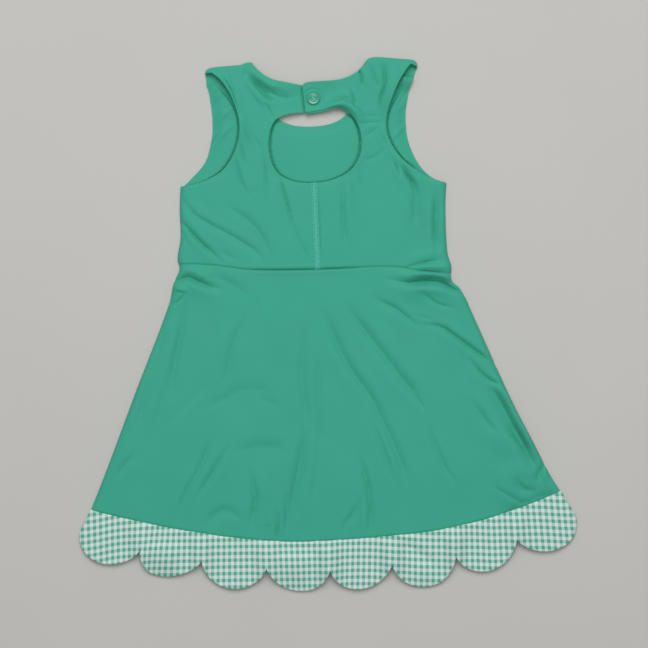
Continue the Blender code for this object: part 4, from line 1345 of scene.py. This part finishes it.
def stretch_knit():
    """Nylon and elastane, warp knitted and brushed smooth: even colour, soft low sheen, no shine.
    Its wales are 0.5 mm apart and are drawn at 1 mm, since finer ones don't show."""
    material, tree, shader = bare_material("stretch_knit")
    place = node(tree, "ShaderNodeTexCoord").outputs["Object"]
    parts = node(tree, "ShaderNodeSeparateXYZ", {0: node(tree, "ShaderNodeUVMap", uv_map="grain")})
    wale = wave_across(tree, parts.outputs[0], 1 / WALE)
    course = wave_across(tree, parts.outputs[1], 1 / COURSE)
    fuzz = node(tree, "ShaderNodeTexNoise", {"Vector": place, "Scale": 900.0, "Detail": 3.0})
    loops = node(tree, "ShaderNodeMath", {0: course, 1: 0.5, 2: wale}, operation="MULTIPLY_ADD")
    height = node(tree, "ShaderNodeMath", {0: fuzz, 1: 1.5, 2: loops}, operation="MULTIPLY_ADD")
    bump = node(tree, "ShaderNodeBump", {"Strength": 0.25, "Distance": 0.05 * MM, "Height": height})
    colour = mottled(tree, {"Vector": place, "Scale": 28.0, "Detail": 4.0}, KNIT_DEEP, KNIT_LIGHT)
    feed(tree, shader, {"Base Color": colour, "Normal": bump, "Roughness": 0.7, "Specular IOR Level": 0.25})
    feed(tree, shader, {"Sheen Weight": 0.12, "Sheen Roughness": 0.5, "Sheen Tint": linear(KNIT_SHEEN)})
    return material


def dark_stripe(tree, repeats):
    """1 over the half of each repeat that is dyed, 0 over the half that is white."""
    wave = node(tree, "ShaderNodeMath", {0: repeats, 1: 0.5}, operation="PINGPONG")
    return node(tree, "ShaderNodeMapRange", {"Value": wave, "From Min": 0.22, "From Max": 0.28})


def woven_gingham():
    """Plain woven cotton gingham, dyed stripes both ways: white where two white stripes cross, deep
    green where two dyed ones do. Its threads are 0.2 mm and are drawn at about 0.5 mm."""
    material, tree, shader = bare_material("woven_gingham")
    grain = node(tree, "ShaderNodeUVMap", uv_map="grain")
    parts = node(tree, "ShaderNodeSeparateXYZ", {0: grain})
    warp, weft = (dark_stripe(tree, parts.outputs[index]) for index in (0, 1))
    threads = node(tree, "ShaderNodeTexChecker", {"Vector": grain, "Scale": THREADS}).outputs["Fac"]
    stripes = node(tree, "ShaderNodeMath", {0: warp, 1: weft}, operation="ADD")
    both = node(tree, "ShaderNodeMath", {0: stripes, 1: 0.5}, operation="MULTIPLY")
    top = node(tree, "ShaderNodeMix", {0: threads, 2: warp, 3: weft})
    dyed = node(tree, "ShaderNodeMix", {0: 0.35, 2: both, 3: top})
    colour = node(tree, "ShaderNodeValToRGB", {0: dyed})
    ramp = colour.color_ramp
    ramp.elements[0].color = linear(GINGHAM_WHITE)
    ramp.elements[1].color = linear(GINGHAM_DEEP)
    ramp.elements.new(0.5).color = linear(GINGHAM_MIDDLE)
    across, down = (wave_across(tree, parts.outputs[index], THREADS) for index in (0, 1))
    height = node(tree, "ShaderNodeMix", {0: threads, 2: across, 3: down})
    bump = node(tree, "ShaderNodeBump", {"Strength": 0.3, "Distance": 0.06 * MM, "Height": height})
    feed(tree, shader, {"Base Color": colour, "Normal": bump})
    feed(tree, shader, {"Roughness": 0.85, "Specular IOR Level": 0.2, "Sheen Weight": 0.05})
    return material


def sewing_thread(name, light, deep):
    """Spun polyester thread: a fine twist and a little gloss."""
    material, tree, shader = bare_material(name)
    place = node(tree, "ShaderNodeTexCoord").outputs["Object"]
    twist = node(tree, "ShaderNodeTexNoise", {"Vector": place, "Scale": 1500.0, "Detail": 2.0})
    bump = node(tree, "ShaderNodeBump", {"Strength": 0.4, "Distance": 0.05 * MM, "Height": twist})
    colour = mottled(tree, {"Vector": place, "Scale": 420.0}, light, deep)
    feed(tree, shader, {"Base Color": colour, "Normal": bump})
    feed(tree, shader, {"Roughness": 0.75, "Specular IOR Level": 0.2, "Sheen Weight": 0.05})
    return material


def clear_plastic():
    """Injection-moulded clear plastic over green cloth: smooth, glossy and of the cloth's own colour."""
    material, tree, shader = bare_material("moulded_tinted_plastic")
    place = node(tree, "ShaderNodeTexCoord").outputs["Object"]
    ripple = node(tree, "ShaderNodeTexNoise", {"Vector": place, "Scale": 260.0, "Detail": 1.0})
    bump = node(tree, "ShaderNodeBump", {"Strength": 0.02, "Distance": 0.05 * MM, "Height": ripple})
    feed(tree, shader, {"Base Color": linear(STUD_TINT), "Normal": bump, "Roughness": 0.08, "IOR": 1.5})
    return material


def pale_floor():
    """A plain matt painted board."""
    material, tree, shader = bare_material("pale_matt_board")
    place = node(tree, "ShaderNodeTexCoord").outputs["Object"]
    colour = mottled(tree, {"Vector": place, "Scale": 5.0, "Detail": 3.0}, FLOOR_DEEP, FLOOR_LIGHT)
    feed(tree, shader, {"Base Color": colour, "Roughness": 0.95, "Specular IOR Level": 0.1})
    return material


# The studio

CAMERA_HEIGHT = 2.1
VIEW_SPAN = 648 * MM  # the picture's width on the dress, at 1 mm a pixel
VIEW_CENTRE = -4 * MM
DRESS_LEVEL = 4 * MM
SENSOR = 36.0
FLOOR_HALF, FLOOR_DROP = 3.0, 0.15 * MM  # the board reaches so far each way, and lies just clear below


def studio(board):
    floor_mesh = bpy.data.meshes.new("floor")
    bm = bmesh.new()
    bmesh.ops.create_grid(bm, x_segments=1, y_segments=1, size=FLOOR_HALF)
    bmesh.ops.translate(bm, verts=bm.verts, vec=(0, 0, -FLOOR_DROP))
    bm.to_mesh(floor_mesh)
    bm.free()
    floor_mesh.materials.append(board)
    floor = bpy.data.objects.new("floor", floor_mesh)
    bpy.context.scene.collection.objects.link(floor)

    camera = bpy.data.cameras.new("overhead")
    camera.sensor_width = SENSOR
    camera.lens = SENSOR * (CAMERA_HEIGHT - DRESS_LEVEL) / VIEW_SPAN
    camera.clip_end = 20
    overhead = bpy.data.objects.new("overhead", camera)
    overhead.location = (VIEW_CENTRE, 0, CAMERA_HEIGHT)
    bpy.context.scene.collection.objects.link(overhead)
    bpy.context.scene.camera = overhead

    # The last column is whether glossy pieces mirror it: the overhead one would veil them
    for name, place, size, power, mirrored in (
        ("neck_side_softbox", (-0.05, 1.6, 2.5), 1.6, KEY_POWER, True),
        ("overhead_softbox", (0.0, 0.3, 2.5), 1.8, FILL_POWER, False),
    ):
        lamp = bpy.data.lights.new(name, "AREA")
        lamp.shape = "SQUARE"
        lamp.size = size
        lamp.energy = power
        softbox = bpy.data.objects.new(name, lamp)
        softbox.visible_glossy = mirrored
        softbox.location = place
        softbox.rotation_euler = (-Vector(place)).to_track_quat("-Z", "Y").to_euler()
        bpy.context.scene.collection.objects.link(softbox)

    world = bpy.data.worlds.new("soft_room")
    world.use_nodes = True
    background = world.node_tree.nodes["Background"]
    feed(world.node_tree, background, {"Color": linear(ROOM_LIGHT), "Strength": ROOM_STRENGTH})
    bpy.context.scene.world = world
    bpy.context.scene.view_settings.view_transform = "Standard"
    return floor


# Colours and finish

KNIT_DEEP, KNIT_LIGHT, KNIT_SHEEN = "379E85", "3CA48A", "9FE0CB"
GINGHAM_WHITE, GINGHAM_MIDDLE, GINGHAM_DEEP = "D4DEDE", "9FCDC2", "5AA189"
COVER_THREAD, COVER_SHADE = "66CAB5", "4AB59C"
HEM_THREAD, HEM_SHADE = "35A282", "2E9275"
STUD_TINT = "37997F"
FLOOR_DEEP, FLOOR_LIGHT = "BDBCB8", "C2C1BD"
ROOM_LIGHT, ROOM_STRENGTH = "FFFFFF", 0.27
KEY_POWER, FILL_POWER = 44.0, 24.5
WALE, COURSE = 1.0, 0.8
THREADS = 12  # drawn threads to one repeat of the check

WAIST_LINE, HEM_LINE, CENTRE_LINE = smooth_line(WAIST), smooth_line(HEM), smooth_line(CENTRE_SEAM)
SIDES = [
    np.vstack([[lowest], joined(smooth_line(skirt_side)[::-1], smooth_line(half.side))])
    for lowest, skirt_side, half in (
        (SCALLOPS[0][:2], LEFT_SKIRT_SIDE, LEFT),
        (BAND_RIGHT_END, RIGHT_SKIRT_SIDE, RIGHT),
    )
]


def main():
    knit, gingham = stretch_knit(), woven_gingham()
    floor = studio(pale_floor())
    back_skirt, front_skirt, back_band, front_band = skirt_and_band(knit, gingham)
    left = back_half("back_bodice_left", LEFT, knit)
    right = back_half("back_bodice_right", RIGHT, knit)
    front = front_bodice(knit)
    press_stud(clear_plastic())
    seam_rows, seam_cover = centre_seam_sewing(sewing_thread("cover_thread", COVER_THREAD, COVER_SHADE))
    hem_stitches = hem_sewing(sewing_thread("hem_thread", HEM_THREAD, HEM_SHADE))


main()
